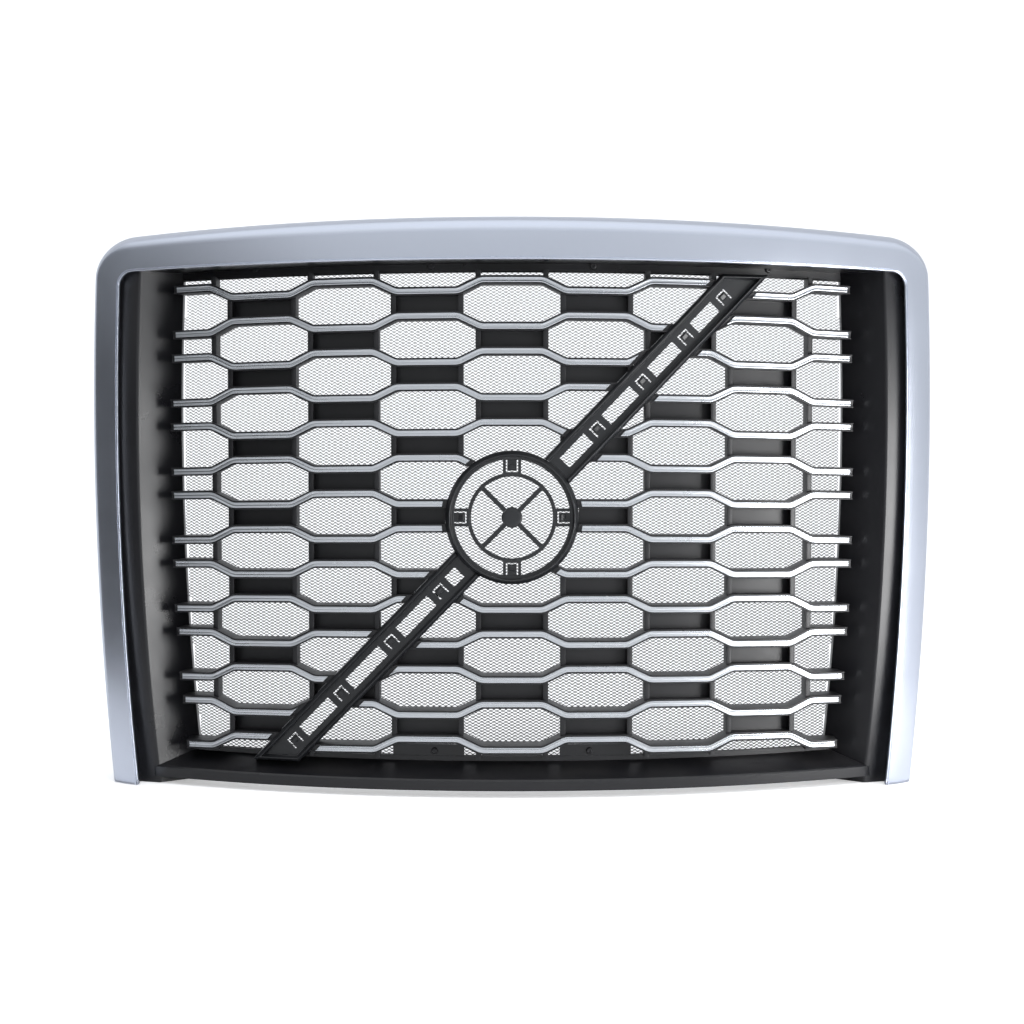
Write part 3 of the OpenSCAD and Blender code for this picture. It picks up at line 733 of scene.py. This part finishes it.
def split_by_badge(x, low, high, grow=0.0005):
    """The heights of a stretch below the badge's field and above it, kept where they're real."""
    gap_low, gap_high = badge_gap(x, grow)
    below = (low, np.minimum(high, np.maximum(gap_low, low)))
    above = (np.maximum(low, np.minimum(gap_high, high)), high)
    pieces = [below, above]
    if not ((gap_low < high) & (gap_high > low)).any():
        pieces = [(low, high)]
    return [(a, b) for a, b in pieces if (b - a).max() > 0.002]


def rib(x_middle, low_of, high_of):
    """An upright rib: a rounded section (x, depth) between two heights that vary with x."""
    b = settings("bars")
    half, front, back = b.rib / 2 / MM, b.rib_front / MM, b.back / MM - 0.4
    section = rounded([(half, front, 0.6), (-half, front, 0.6), (-half + 0.3, back, 0),
                       (half - 0.3, back, 0)], steps=3)
    x, depth = x_middle + section[:, 0], section[:, 1]
    made = []
    for low, high in split_by_badge(x, low_of(x), high_of(x)):
        z = np.stack([low, np.maximum(high, low + 1e-5)])
        made.append(grid(on_face(x[None], depth[None], z), wrap_v=True, caps=True))
    return made


def panel(x_middle, half, low_of, high_of):
    """A closed cell's plate: front and back faces over x columns, and its edges."""
    b = settings("bars")
    made = []
    x = np.linspace(x_middle - half, x_middle + half, 96)
    for low, high in split_by_badge(x, low_of(x), high_of(x)):
        rows = np.stack([low, np.maximum(high, low + 1e-5)], 1)
        loop_z = np.stack([rows[:, 0], rows[:, 1], rows[:, 1], rows[:, 0]], 1)
        loop_depth = np.broadcast_to([b.panel_front, b.panel_front, b.panel_front + b.panel,
                                      b.panel_front + b.panel], loop_z.shape)
        made.append(grid(on_face(np.broadcast_to(x[:, None], loop_z.shape), loop_depth, loop_z),
                         wrap_v=True, caps=True))
    return made


def cell_middles(gap):
    """Middles of the narrow cells in the gap under a bar."""
    return (-0.336, -0.112, 0.112, 0.336) if gap % 2 else (-0.448, -0.224, 0.0, 0.224, 0.448)


def honeycomb_cells():
    """Ribs on both sides of each narrow cell, and the plates that close those cells, but
    for the ones against the wings."""
    b = settings("bars")
    ribs, plates = [], []
    for gap in range(1, b.count):
        low_of = lambda x, row=gap + 1: bar_line(row, x)
        high_of = lambda x, row=gap: bar_line(row, x)
        for middle in cell_middles(gap):
            for side in (-1, 1):
                if abs(middle + side * b.rib_offset) < RIB_LIMIT:
                    ribs += rib(middle + side * b.rib_offset, low_of, high_of)
            if abs(middle) < 0.4:
                plates += panel(middle, b.rib_offset, low_of, high_of)
    for middle in cell_middles(0):
        for side in (-1, 1):
            x = middle + side * b.rib_offset
            if abs(x) < RIB_LIMIT:
                ribs += rib(x, lambda x: bar_line(1, x), lambda x: lintel(x) - 0.0093)
                ribs += rib(x, lambda x: np.full_like(x, SILL_STRIP[1] - 0.0002),
                            lambda x: bar_line(b.count, x))
    return ribs, plates


def edge_strip(low_of, high_of, half):
    """A plain strip along the insert's top or bottom, behind the header or the sill."""
    x = np.linspace(-half, half, 60)
    low, high = low_of(x), high_of(x)
    z = np.stack([low, high, high, low], 1)
    depth = np.broadcast_to([STRIP_FRONT, STRIP_FRONT, STRIP_BACK, STRIP_BACK], z.shape)
    return grid(on_face(np.broadcast_to(x[:, None], z.shape), depth, z), wrap_v=True, caps=True)


# ---- bug screen ----

def screen_strands(low, high):
    """Expanded metal between two heights: level strands that zigzag half a diamond up and
    down, each opposite to the next, so that neighbours meet at every second point. A strand
    is a flat section (s, q) turned by the tilt, with its upper edge to the rear: height
    s cos - q sin, depth q cos + s sin. The strands end where the wings begin."""
    s = settings("screen")
    spacing, pitch = s.cell_height / 2, s.cell_width / 2
    first = int(math.ceil((low - SCREEN_START) / spacing))
    last = int(math.ceil((high - SCREEN_START) / spacing))
    row = np.arange(first, last)[:, None]
    count = int((SCREEN_HALF + 0.0023) / pitch)
    station = np.arange(-count, count + 1)[None, :]
    x = station * pitch
    sign = np.where((station + row) % 2 == 0, 1.0, -1.0)
    c, n = math.cos(s.tilt), math.sin(s.tilt)
    middle = SCREEN_START + row * spacing
    height = middle + sign * (spacing / 2 - s.strand * c * 0.4)
    limit = edge_x(SCREEN_HALF, middle)
    used = np.abs(x) <= limit
    wide = np.array([-1, 1, 1, -1]) * s.strand / 2
    thick = np.array([-1, -1, 1, 1]) * s.sheet / 2
    corner_z = wide * c - thick * n
    corner_d = SCREEN_DEPTH + thick * c + wide * n
    xx = np.broadcast_to(x[..., None], (*used.shape, 4))
    zz = height[..., None] + corner_z
    points = on_face(xx, np.broadcast_to(corner_d, xx.shape), zz)
    index = np.arange(points.size // 3).reshape(*used.shape, 4)
    both = used[:, :-1] & used[:, 1:]
    a0, b0 = index[:, :-1][both], index[:, 1:][both]
    turn = np.roll(np.arange(4), -1)
    quads = np.stack([a0, b0, b0[:, turn], a0[:, turn]], -1).reshape(-1, 4)
    start = used & ~np.pad(used, ((0, 0), (1, 0)))[:, :-1]
    end = used & ~np.pad(used, ((0, 0), (0, 1)))[:, 1:]
    quads = np.concatenate([quads, index[start], index[end][:, ::-1]])
    keep, quads = np.unique(quads, return_inverse=True)
    return points.reshape(-1, 3)[keep], quads.reshape(-1, 4)[:, ::-1], []


# ---- badge carrier ----

def along_rail(u, v):
    """Front-view points of places along the diagonal (u) and square to it (v)."""
    plan = settings("plan")
    c, s = math.cos(plan.slope), math.sin(plan.slope)
    return u * c - v * s, plan.hub_height + u * s + v * c


def rail_end(v, inset, side):
    """Place along the diagonal at which a line beside it meets the rail's level cut end."""
    plan = settings("plan")
    height = RAIL_ENDS[1] - inset if side > 0 else RAIL_ENDS[0] + inset
    return (height - plan.hub_height - v * math.cos(plan.slope)) / math.sin(plan.slope)


def rail_lips(side):
    """A rail's three raised edges in one: a section (inset from the outline, depth) carried
    up one side, across the cut end and back, mitred where the outline turns."""
    section = rounded([
        (0, 88, 0), (0, 45.6, 0.8), (3.2, 41.3, 0.5), (4.0, 41.0, 0.3), (4.8, 41.4, 0.4),
        (6.0, 49.4, 0.6), (7.4, 50.1, 0.5), (7.4, 52.9, 0), (5.6, 53.4, 0.5), (5.2, 88, 0)], steps=3)
    inset, depth = section[:, 0], section[:, 1]
    v = RAIL_HALF - inset
    hub_edge = np.sqrt((HUB + 0.0003) ** 2 - v ** 2) * side
    t = np.linspace(0, 1, 46)[:, None]
    first = hub_edge + (rail_end(v, inset, side) - hub_edge) * t
    last = hub_edge + (rail_end(-v, inset, side) - hub_edge) * t[::-1]
    ends = rail_end(v, inset, side), rail_end(-v, inset, side)
    s = np.linspace(0, 1, 9)[1:-1, None]
    across_u = ends[0] + (ends[1] - ends[0]) * s
    across_v = v + (-2 * v) * s
    u = np.concatenate([first, across_u, last])
    vv = np.concatenate([np.broadcast_to(v, first.shape), across_v, np.broadcast_to(-v, last.shape)])
    x, z = along_rail(u, vv)
    return grid(on_face(x, np.broadcast_to(depth, x.shape), z), wrap_v=True, caps=True)


def pierced_plate(u, v, keep, front, back, place):
    """A plate on a grid of lines u and v, where keep says which cells are solid: fronts and
    backs of the solid cells, and a wall wherever a solid cell meets an open one. place turns
    grid points into front-view points."""
    x, z = place(u, v)
    shape = x.shape
    points = np.concatenate([on_face(x, np.full(shape, d), z).reshape(-1, 3) for d in (front, back)])
    index = np.arange(x.size).reshape(shape)
    lower = index + x.size
    a, b, c, d = (m[keep] for m in (index[:-1, :-1], index[1:, :-1], index[1:, 1:], index[:-1, 1:]))
    quads = [np.stack([a, b, c, d], -1), np.stack([a, d, c, b], -1) + x.size]
    solid = np.pad(keep, 1)
    here = solid[1:-1, 1:-1]
    for di, dj, p, q in ((-1, 0, (0, 0), (0, 1)), (1, 0, (1, 1), (1, 0)),
                         (0, -1, (1, 0), (0, 0)), (0, 1, (0, 1), (1, 1))):
        beside = solid[1 + di:solid.shape[0] - 1 + di, 1 + dj:solid.shape[1] - 1 + dj]
        open_beside = here & ~beside
        rows, columns = np.nonzero(open_beside)
        one, two = (rows + p[0], columns + p[1]), (rows + q[0], columns + q[1])
        quads.append(np.stack([index[one], lower[one], lower[two], index[two]], -1))
    quads = np.concatenate(quads)
    used, quads = np.unique(quads, return_inverse=True)
    return turned_out(points[used], quads.reshape(-1, 4))


def lines(*stops, step=0.010):
    """Grid lines at the given stops, and between them no further apart than step."""
    stops = sorted(set(stops))
    spans = [np.linspace(a, b, max(int(math.ceil((b - a) / step)), 1) + 1)[:-1]
             for a, b in zip(stops, stops[1:])]
    return np.concatenate(spans + [[stops[-1]]])


def in_socket(a, b, slot=0.002):
    """Whether places round a socket's middle lie in its U slot: a square but for the tab."""
    square = (np.abs(a) < SOCKET_HALF) & (np.abs(b) < SOCKET_HALF)
    tab = (np.abs(a) < SOCKET_HALF - slot) & (b < SOCKET_HALF - slot)
    return square & ~tab


def rail_floor(side, windows, sockets):
    """A rail's floor: a plate between the lips, pierced by windows and by U slots, whose
    first line follows the hub and whose last follows the level cut end."""
    u_stops = [w for pair in windows for w in pair]
    u_stops += [d + k for d in sockets for k in (-SOCKET_HALF, -0.006, 0.006, SOCKET_HALF)]
    near, far = HUB - 0.001, abs(rail_end(0.0, 0.006, side))
    u_stops = [s for s in u_stops if near + 0.004 < s < far - 0.02]
    u = lines(near, far, *u_stops)
    v = lines(-0.0166, -0.009, -0.008, -0.006, 0.0, 0.006, 0.008, 0.009, 0.0166, step=0.02)
    uu, vv = np.meshgrid(u, v, indexing="ij")
    mid_u, mid_v = (uu[:-1, :-1] + uu[1:, 1:]) / 2, (vv[:-1, :-1] + vv[1:, 1:]) / 2
    keep = np.ones(mid_u.shape, bool)
    for low, high in windows:
        keep &= ~((mid_u > low) & (mid_u < high) & (np.abs(mid_v) < WINDOW_HALF))
    for d in sockets:
        keep &= ~in_socket(side * (mid_u - d), mid_v)
    uu[0] = np.sqrt((HUB - 0.003) ** 2 - vv[0] ** 2)
    uu = uu * side
    uu[-1] = rail_end(vv[-1], 0.0062, side)
    return pierced_plate(uu, vv, keep, 0.0503, 0.0530, along_rail)


def socket_hooks(places, turn):
    """A small ramp on each spring tab, drawn as a rounded section carried across the tab."""
    made = []
    section = rounded([(-3.4, 50.6, 0), (1.0, 49.2, 0.4), (3.2, 48.2, 0.5), (4.4, 48.8, 0.4),
                       (4.4, 50.6, 0)], steps=3)
    across = np.array([-0.0036, -0.0034, 0.0034, 0.0036])[:, None]
    for u, v in places:
        x, z = turn(u, v, across, section[:, 0])
        points = on_face(x, np.broadcast_to(section[:, 1], x.shape), z)
        made.append(grid(points, wrap_v=True, caps=True))
    return made


def lathed(profile, closed=True, around=144):
    """A profile (radius, depth) turned about the hub's axis and laid on the curved face."""
    angle = np.linspace(0, 2 * math.pi, around, endpoint=False)[:, None]
    x = profile[:, 0] * np.cos(angle)
    z = settings("plan").hub_height + profile[:, 0] * np.sin(angle)
    points = on_face(x, np.broadcast_to(profile[:, 1], x.shape), z)
    points, quads, _ = grid(np.concatenate([points, points[:1]]), wrap_v=closed)
    ring = around * len(profile)
    quads = np.where(quads >= ring, quads - ring, quads)
    return turned_out(points[:ring], quads)


def hub_frame(turn):
    """Turns places (radial, tangential) about the hub by an angle into front-view points."""
    c, s = math.cos(turn), math.sin(turn)
    def place(u, v):
        return u * c - v * s, settings("plan").hub_height + u * s + v * c
    return place


def hub_shells():
    """The hub: a drafted rim with a narrow crest, a floor ring, a raised inner ring, four
    pads pierced by U slots, four thin spokes and a domed boss."""
    rim = rounded([(88, 88, 0), (88, 47, 1.0), (83.6, 38.9, 0.8), (82.6, 38.1, 0.4),
                   (81.6, 38.8, 0.5), (80.6, 50, 0.8), (76.8, 50.2, 0.3), (76.8, 53.6, 0),
                   (80.2, 54, 0.5), (80.8, 88, 0)], steps=4)
    inner = rounded([(59, 55.6, 0), (59, 50.6, 0.7), (54, 50.6, 0.7), (54, 55.6, 0)], steps=4)
    boss = rounded([(0.02, 54.5, 0), (0.02, 49.6, 0), (9.0, 49.8, 2), (13.8, 51.2, 1.2), (13.8, 54.5, 0)])
    shells = [lathed(rim), lathed(inner), lathed(boss, around=72)]
    for k in range(4):
        place = hub_frame(k * math.pi / 2)
        u = lines(0.0560, 0.0600, 0.0618, 0.0742, 0.0760, 0.0790, step=0.02)
        v = lines(-0.012, -0.008, -0.0062, 0.0062, 0.008, 0.012, step=0.02)
        uu, vv = np.meshgrid(u, v, indexing="ij")
        mid_u, mid_v = (uu[:-1, :-1] + uu[1:, 1:]) / 2, (vv[:-1, :-1] + vv[1:, 1:]) / 2
        keep = ~in_socket(mid_v, HUB_SOCKETS - mid_u, slot=0.0018)
        shells.append(pierced_plate(uu, vv, keep, 0.0504, 0.0540, place))
    for k in range(4):
        place = hub_frame(math.pi / 4 + k * math.pi / 2)
        v = np.array([-0.003, -0.0022, 0.0022, 0.003])
        uu, vv = np.meshgrid(lines(0.012, 0.0555), v, indexing="ij")
        solid = np.ones((len(uu) - 1, len(v) - 1), bool)
        shells.append(pierced_plate(uu, vv, solid, 0.0508, 0.0545, place))
    return shells


# ---- fasteners ----

def screw_head(x, height, depth, radius, rise):
    """A pan head on the curved face: rings (radius, rise) round a six-lobed recess, whose
    wall radius swings with the cosine of six times the angle. Closed at the recess floor."""
    plan = settings("plan")
    around = 48
    angle = np.linspace(0, 2 * math.pi, around, endpoint=False)[:, None]
    rings = np.array([(1.0, -0.1, 0), (1.0, 0.35, 0), (0.93, 0.72, 0), (0.78, 0.95, 0),
                      (0.55, 1.0, 0.2), (0.42, 0.98, 1), (0.40, 0.35, 1), (0.20, 0.30, 0.5),
                      (0.004, 0.30, 0)])
    r = radius * rings[:, 0] * (1 + 0.13 * rings[:, 2] * np.cos(6 * angle))
    lift = rise * rings[:, 1]
    turn = math.asin(x / plan.face_radius)
    out = plan.face_radius - depth
    local_x, local_z = r * np.cos(angle), r * np.sin(angle)
    reach = out + np.broadcast_to(lift, r.shape)
    px = reach * math.sin(turn) + local_x * math.cos(turn)
    py = FRONT + plan.face_radius - reach * math.cos(turn) + local_x * math.sin(turn)
    points = np.stack([px, py, FOOT + height + local_z], -1)
    points, quads, _ = grid(np.concatenate([points, points[:1]]), flip=True)
    ring = around * len(rings)
    return points[:ring], np.where(quads >= ring, quads - ring, quads), []


# ---- operators ----

class GRILLE_OT_surround(bpy.types.Operator):
    """Adds the painted surround"""
    bl_idname = "grille.surround"
    bl_label = "Surround"
    bl_options = {"REGISTER", "UNDO"}

    def execute(self, context):
        made = piece("surround_skin", [surround_shell()], "silver_paint", ["surround"], sharp=40)
        wall = made.modifiers.new("wall", "SOLIDIFY")
        wall.thickness = settings("surround").wall
        wall.offset = -1
        return {"FINISHED"}


class GRILLE_OT_bezel(bpy.types.Operator):
    """Adds the two wings and finishes the header and the sill"""
    bl_idname = "grille.bezel"
    bl_label = "Bezel"
    bl_options = {"REGISTER", "UNDO"}

    def execute(self, context):
        piece("wing_right", [wing(1)], "bezel_black", ["right_wing"], sharp=50)
        piece("wing_left", [wing(-1)], "bezel_black", ["left_wing"], sharp=50)
        dress("header_rail")
        dress("lower_sill")
        return {"FINISHED"}


class GRILLE_OT_insert(bpy.types.Operator):
    """Adds the wavy bars with their ribs, closed cells and edge strips"""
    bl_idname = "grille.insert"
    bl_label = "Honeycomb insert"
    bl_options = {"REGISTER", "UNDO"}

    def execute(self, context):
        b = settings("bars")
        section = bar_profile()
        for side, name in ((-1, "bars_left"), (1, "bars_right")):
            runs = [bar_run(row, side, section, 0.0004, 0.0) for row in range(1, b.count + 1)]
            piece(name, runs, "insert_black", ["grille_insert"], sharp=50)
        ribs, plates = honeycomb_cells()
        piece("cell_ribs", ribs, "insert_black", ["grille_insert"], sharp=50)
        piece("cell_plates", plates, "insert_black", ["grille_insert"])
        strips = [edge_strip(lambda x: lintel(x) - 0.0104, lambda x: lintel(x) + 0.0018, 0.459),
                  edge_strip(lambda x: np.full_like(x, SILL_STRIP[0]),
                             lambda x: np.full_like(x, SILL_STRIP[1]), 0.444)]
        piece("insert_strips", strips, "insert_black", ["grille_insert"])
        return {"FINISHED"}


class GRILLE_OT_trims(bpy.types.Operator):
    """Adds a trim strip in each bar, on both sides of the diagonal"""
    bl_idname = "grille.trims"
    bl_label = "Trim strips"
    bl_options = {"REGISTER", "UNDO"}

    def execute(self, context):
        section = trim_profile()
        for row in range(1, settings("bars").count + 1):
            for side, word in ((-1, "left"), (1, "right")):
                run = bar_run(row, side, section, 0.0056, 0.0044)
                number = f"{word}_{row:02d}"
                piece(f"strip_{number}", [run], "trim_silver", [f"trim_{number}"], sharp=50)
        return {"FINISHED"}


class GRILLE_OT_rails(bpy.types.Operator):
    """Adds the two diagonal badge rails"""
    bl_idname = "grille.rails"
    bl_label = "Badge rails"
    bl_options = {"REGISTER", "UNDO"}

    def execute(self, context):
        upper = ("upper_badge_rail", 1, UPPER_WINDOWS, UPPER_SOCKETS)
        lower = ("lower_badge_rail", -1, LOWER_WINDOWS, LOWER_SOCKETS)
        for name, side, windows, sockets in (upper, lower):
            shells = [rail_lips(side), rail_floor(side, windows, sockets)]
            shells += socket_hooks([(side * d, 0.0) for d in sockets],
                                   lambda u, v, across, up: along_rail(u + across, v + up))
            channel = name.replace("badge_rail", "rail_channel")
            piece(channel, shells, "carrier_black", [name], sharp=40)
        return {"FINISHED"}


class GRILLE_OT_hub(bpy.types.Operator):
    """Adds the round badge hub"""
    bl_idname = "grille.hub"
    bl_label = "Badge hub"
    bl_options = {"REGISTER", "UNDO"}

    def execute(self, context):
        shells = hub_shells()
        for k in range(4):
            place = hub_frame(k * math.pi / 2)
            shells += socket_hooks([(HUB_SOCKETS, 0.0)],
                                   lambda u, v, across, up, place=place: place(u - up, v + across))
        piece("hub_carrier", shells, "carrier_black", ["badge_hub"], sharp=40)
        return {"FINISHED"}


class GRILLE_OT_screen(bpy.types.Operator):
    """Adds the expanded-metal bug screen in several pieces"""
    bl_idname = "grille.screen"
    bl_label = "Bug screen"
    bl_options = {"REGISTER", "UNDO"}

    def execute(self, context):
        count = settings("screen").sections
        edges = np.linspace(*SCREEN_HEIGHTS, count + 1)
        for k in range(count):
            strands = screen_strands(edges[k], edges[k + 1])
            piece(f"screen_section_{k + 1}", [strands], "screen_mesh", ["bug_screen"], sharp=180)
        return {"FINISHED"}


class GRILLE_OT_fasteners(bpy.types.Operator):
    """Adds the front screws and finishes the screws, rivets and brackets behind"""
    bl_idname = "grille.fasteners"
    bl_label = "Fasteners and brackets"
    bl_options = {"REGISTER", "UNDO"}

    def execute(self, context):
        for word, places, height in (("header", HEADER_SCREWS, HEADER_SCREW_HEIGHT),
                                     ("sill", SILL_SCREWS, SILL_SCREW_HEIGHT)):
            heads = [screw_head(x, height, 0.0808, 0.0046, 0.0026) for x in places]
            piece(f"{word}_screw_heads", heads, "fastener_black", [f"{word}_screws"])
        for node in ("screen_rivets", "surround_screws", "bracket_screws",
                     "left_hood_bracket", "right_hood_bracket"):
            dress(node)
        return {"FINISHED"}


class GRILLE_OT_stage(bpy.types.Operator):
    """Adds the pale floor and backdrop, the soft lights and the camera"""
    bl_idname = "grille.stage"
    bl_label = "Stage"
    bl_options = {"REGISTER", "UNDO"}

    def execute(self, context):
        backdrop()
        softbox("key_box", (1.2, -0.80, -0.12), (-0.48, -0.07, -0.04), 0.6, 0.55, 12, True)
        softbox("fill_box", (0.9, -2.6, 1.0), (0.0, -0.1, 0.0), 1.4, 1.2, 6, False)
        flag()
        softbox("top_box", (0.2, -1.1, 2.3), (0.0, -0.1, 0.0), 2.6, 1.2, 20, False)
        world()
        camera()
        return {"FINISHED"}


# ---- stage ----

def stage_piece(name, points, rgb, flip=False):
    """A staged surface in a plain colour, and its shader."""
    mesh = mesh_of(name, [grid(points, flip=flip)])
    made = bpy.data.objects.new(name, mesh)
    bpy.context.scene.collection.objects.link(made)
    plain = bpy.data.materials.new(name + "_colour")
    plain.use_nodes = True
    shader = plain.node_tree.nodes["Principled BSDF"]
    shader.inputs["Base Color"].default_value = (*rgb, 1)
    mesh.materials.append(plain)
    return made, shader


def backdrop():
    """A pale floor that turns up into a wall: level, a quarter circle, then upright. It glows
    to the camera only, so that what the grille mirrors of it is its lit colour."""
    turn = np.linspace(0, math.pi / 2, 24)
    y = np.concatenate([[-6.0, 2.0], 2.0 + 1.5 * np.sin(turn[1:]), [3.5]])
    z = np.concatenate([[0, 0], 1.5 * (1 - np.cos(turn[1:])), [7.0]]) + FOOT - 0.0005
    x = np.array([-9.0, 9.0])
    points = np.stack(np.broadcast_arrays(x[:, None], y, z), -1)
    made, shader = stage_piece("backdrop", points, (0.90, 0.90, 0.91), flip=True)
    shader.inputs["Roughness"].default_value = 0.9
    shader.inputs["Specular IOR Level"].default_value = 0.1
    shader.inputs["Emission Color"].default_value = (1, 1, 1, 1)
    tree = shader.id_data
    seen = add(tree, "ShaderNodeLightPath").outputs["Is Camera Ray"]
    glow = add(tree, "ShaderNodeMapRange", {"Value": seen, "To Min": 0.0, "To Max": 0.40})
    tree.links.new(glow.outputs[0], shader.inputs["Emission Strength"])


def flag():
    """A black card that stands to the left, out of view, and dims that side's reflections."""
    y, z = np.array([-2.3, 0.1])[:, None], np.array([FOOT, FOOT + 0.7])
    points = np.stack(np.broadcast_arrays(-1.6, y, z), -1)
    made, _ = stage_piece("flag", points, (0.02, 0.02, 0.02))
    made.visible_camera = False


def softbox(name, place, target, width, height, power, mirrored):
    """A soft rectangular lamp aimed at a point; only a mirrored one shows in reflections."""
    lamp = bpy.data.lights.new(name, "AREA")
    lamp.shape = "RECTANGLE"
    lamp.size, lamp.size_y, lamp.energy = width, height, power
    made = bpy.data.objects.new(name, lamp)
    made.location = place
    made.visible_glossy = mirrored
    made.rotation_euler = (Vector(target) - Vector(place)).to_track_quat("-Z", "Y").to_euler()
    bpy.context.scene.collection.objects.link(made)


def world():
    """A pale room, dim at the far left, brighter above: side(x) * (1 + 0.8 z)."""
    scene = bpy.context.scene
    scene.world = bpy.data.worlds.new("pale_room")
    scene.world.use_nodes = True
    tree = scene.world.node_tree
    tree.nodes.clear()
    around = add(tree, "ShaderNodeTexCoord").outputs["Generated"]
    axes = add(tree, "ShaderNodeSeparateXYZ", {0: around})
    side = add(tree, "ShaderNodeMapRange", {"Value": axes.outputs["X"], "From Min": -1.05,
                                            "From Max": -0.45, "To Min": 0.14, "To Max": 0.62},
               interpolation_type="SMOOTHSTEP")
    above = add(tree, "ShaderNodeMath", {0: axes.outputs["Z"], 1: 0.8, 2: 1.0},
                operation="MULTIPLY_ADD")
    level = add(tree, "ShaderNodeMath", {0: side.outputs[0], 1: above.outputs[0]},
                operation="MULTIPLY")
    light = add(tree, "ShaderNodeBackground", {"Strength": level.outputs[0],
                                               "Color": (0.94, 0.97, 1.0, 1)})
    add(tree, "ShaderNodeOutputWorld", {"Surface": light.outputs[0]})


def camera():
    """A camera a little above the middle, looking slightly down at the face."""
    lens = bpy.data.cameras.new("camera")
    lens.lens, lens.sensor_width = 68.15, 36.0
    made = bpy.data.objects.new("camera", lens)
    made.location = (0.0, FRONT - 2.5, FOOT + 0.484)
    made.rotation_euler = (math.radians(90 - 2.44), 0, 0)
    bpy.context.scene.collection.objects.link(made)
    bpy.context.scene.camera = made
    bpy.context.scene.view_settings.view_transform = "Standard"


# ---- add-on ----

OPERATORS = (GRILLE_OT_surround, GRILLE_OT_bezel, GRILLE_OT_insert, GRILLE_OT_trims,
             GRILLE_OT_rails, GRILLE_OT_hub, GRILLE_OT_screen, GRILLE_OT_fasteners,
             GRILLE_OT_stage)
GROUPS = {"plan": GrillePlan, "surround": GrilleSurround, "bars": GrilleBars,
          "screen": GrilleScreen, "colours": GrilleColours}


class GRILLE_PT_panel(bpy.types.Panel):
    """Lists the pieces of the grille and the stage"""
    bl_label = "Grille"
    bl_idname = "GRILLE_PT_panel"
    bl_space_type = "VIEW_3D"
    bl_region_type = "UI"
    bl_category = "Grille"

    def draw(self, context):
        for operator in OPERATORS:
            self.layout.operator(operator.bl_idname)


def register():
    for made in (*GROUPS.values(), *OPERATORS, GRILLE_PT_panel):
        bpy.utils.register_class(made)
    for name, group in GROUPS.items():
        setattr(bpy.types.Scene, "grille_" + name, PointerProperty(type=group))


def unregister():
    for name in GROUPS:
        delattr(bpy.types.Scene, "grille_" + name)
    for made in reversed((*GROUPS.values(), *OPERATORS, GRILLE_PT_panel)):
        bpy.utils.unregister_class(made)


def main():
    register()
    for group in (moulded_grain, paint_flake, edge_wear, settled_dust, handled_gloss):
        group()
    for operator in OPERATORS:
        getattr(bpy.ops.grille, operator.bl_idname.split(".")[1])()


if __name__ == "__main__":
    main()
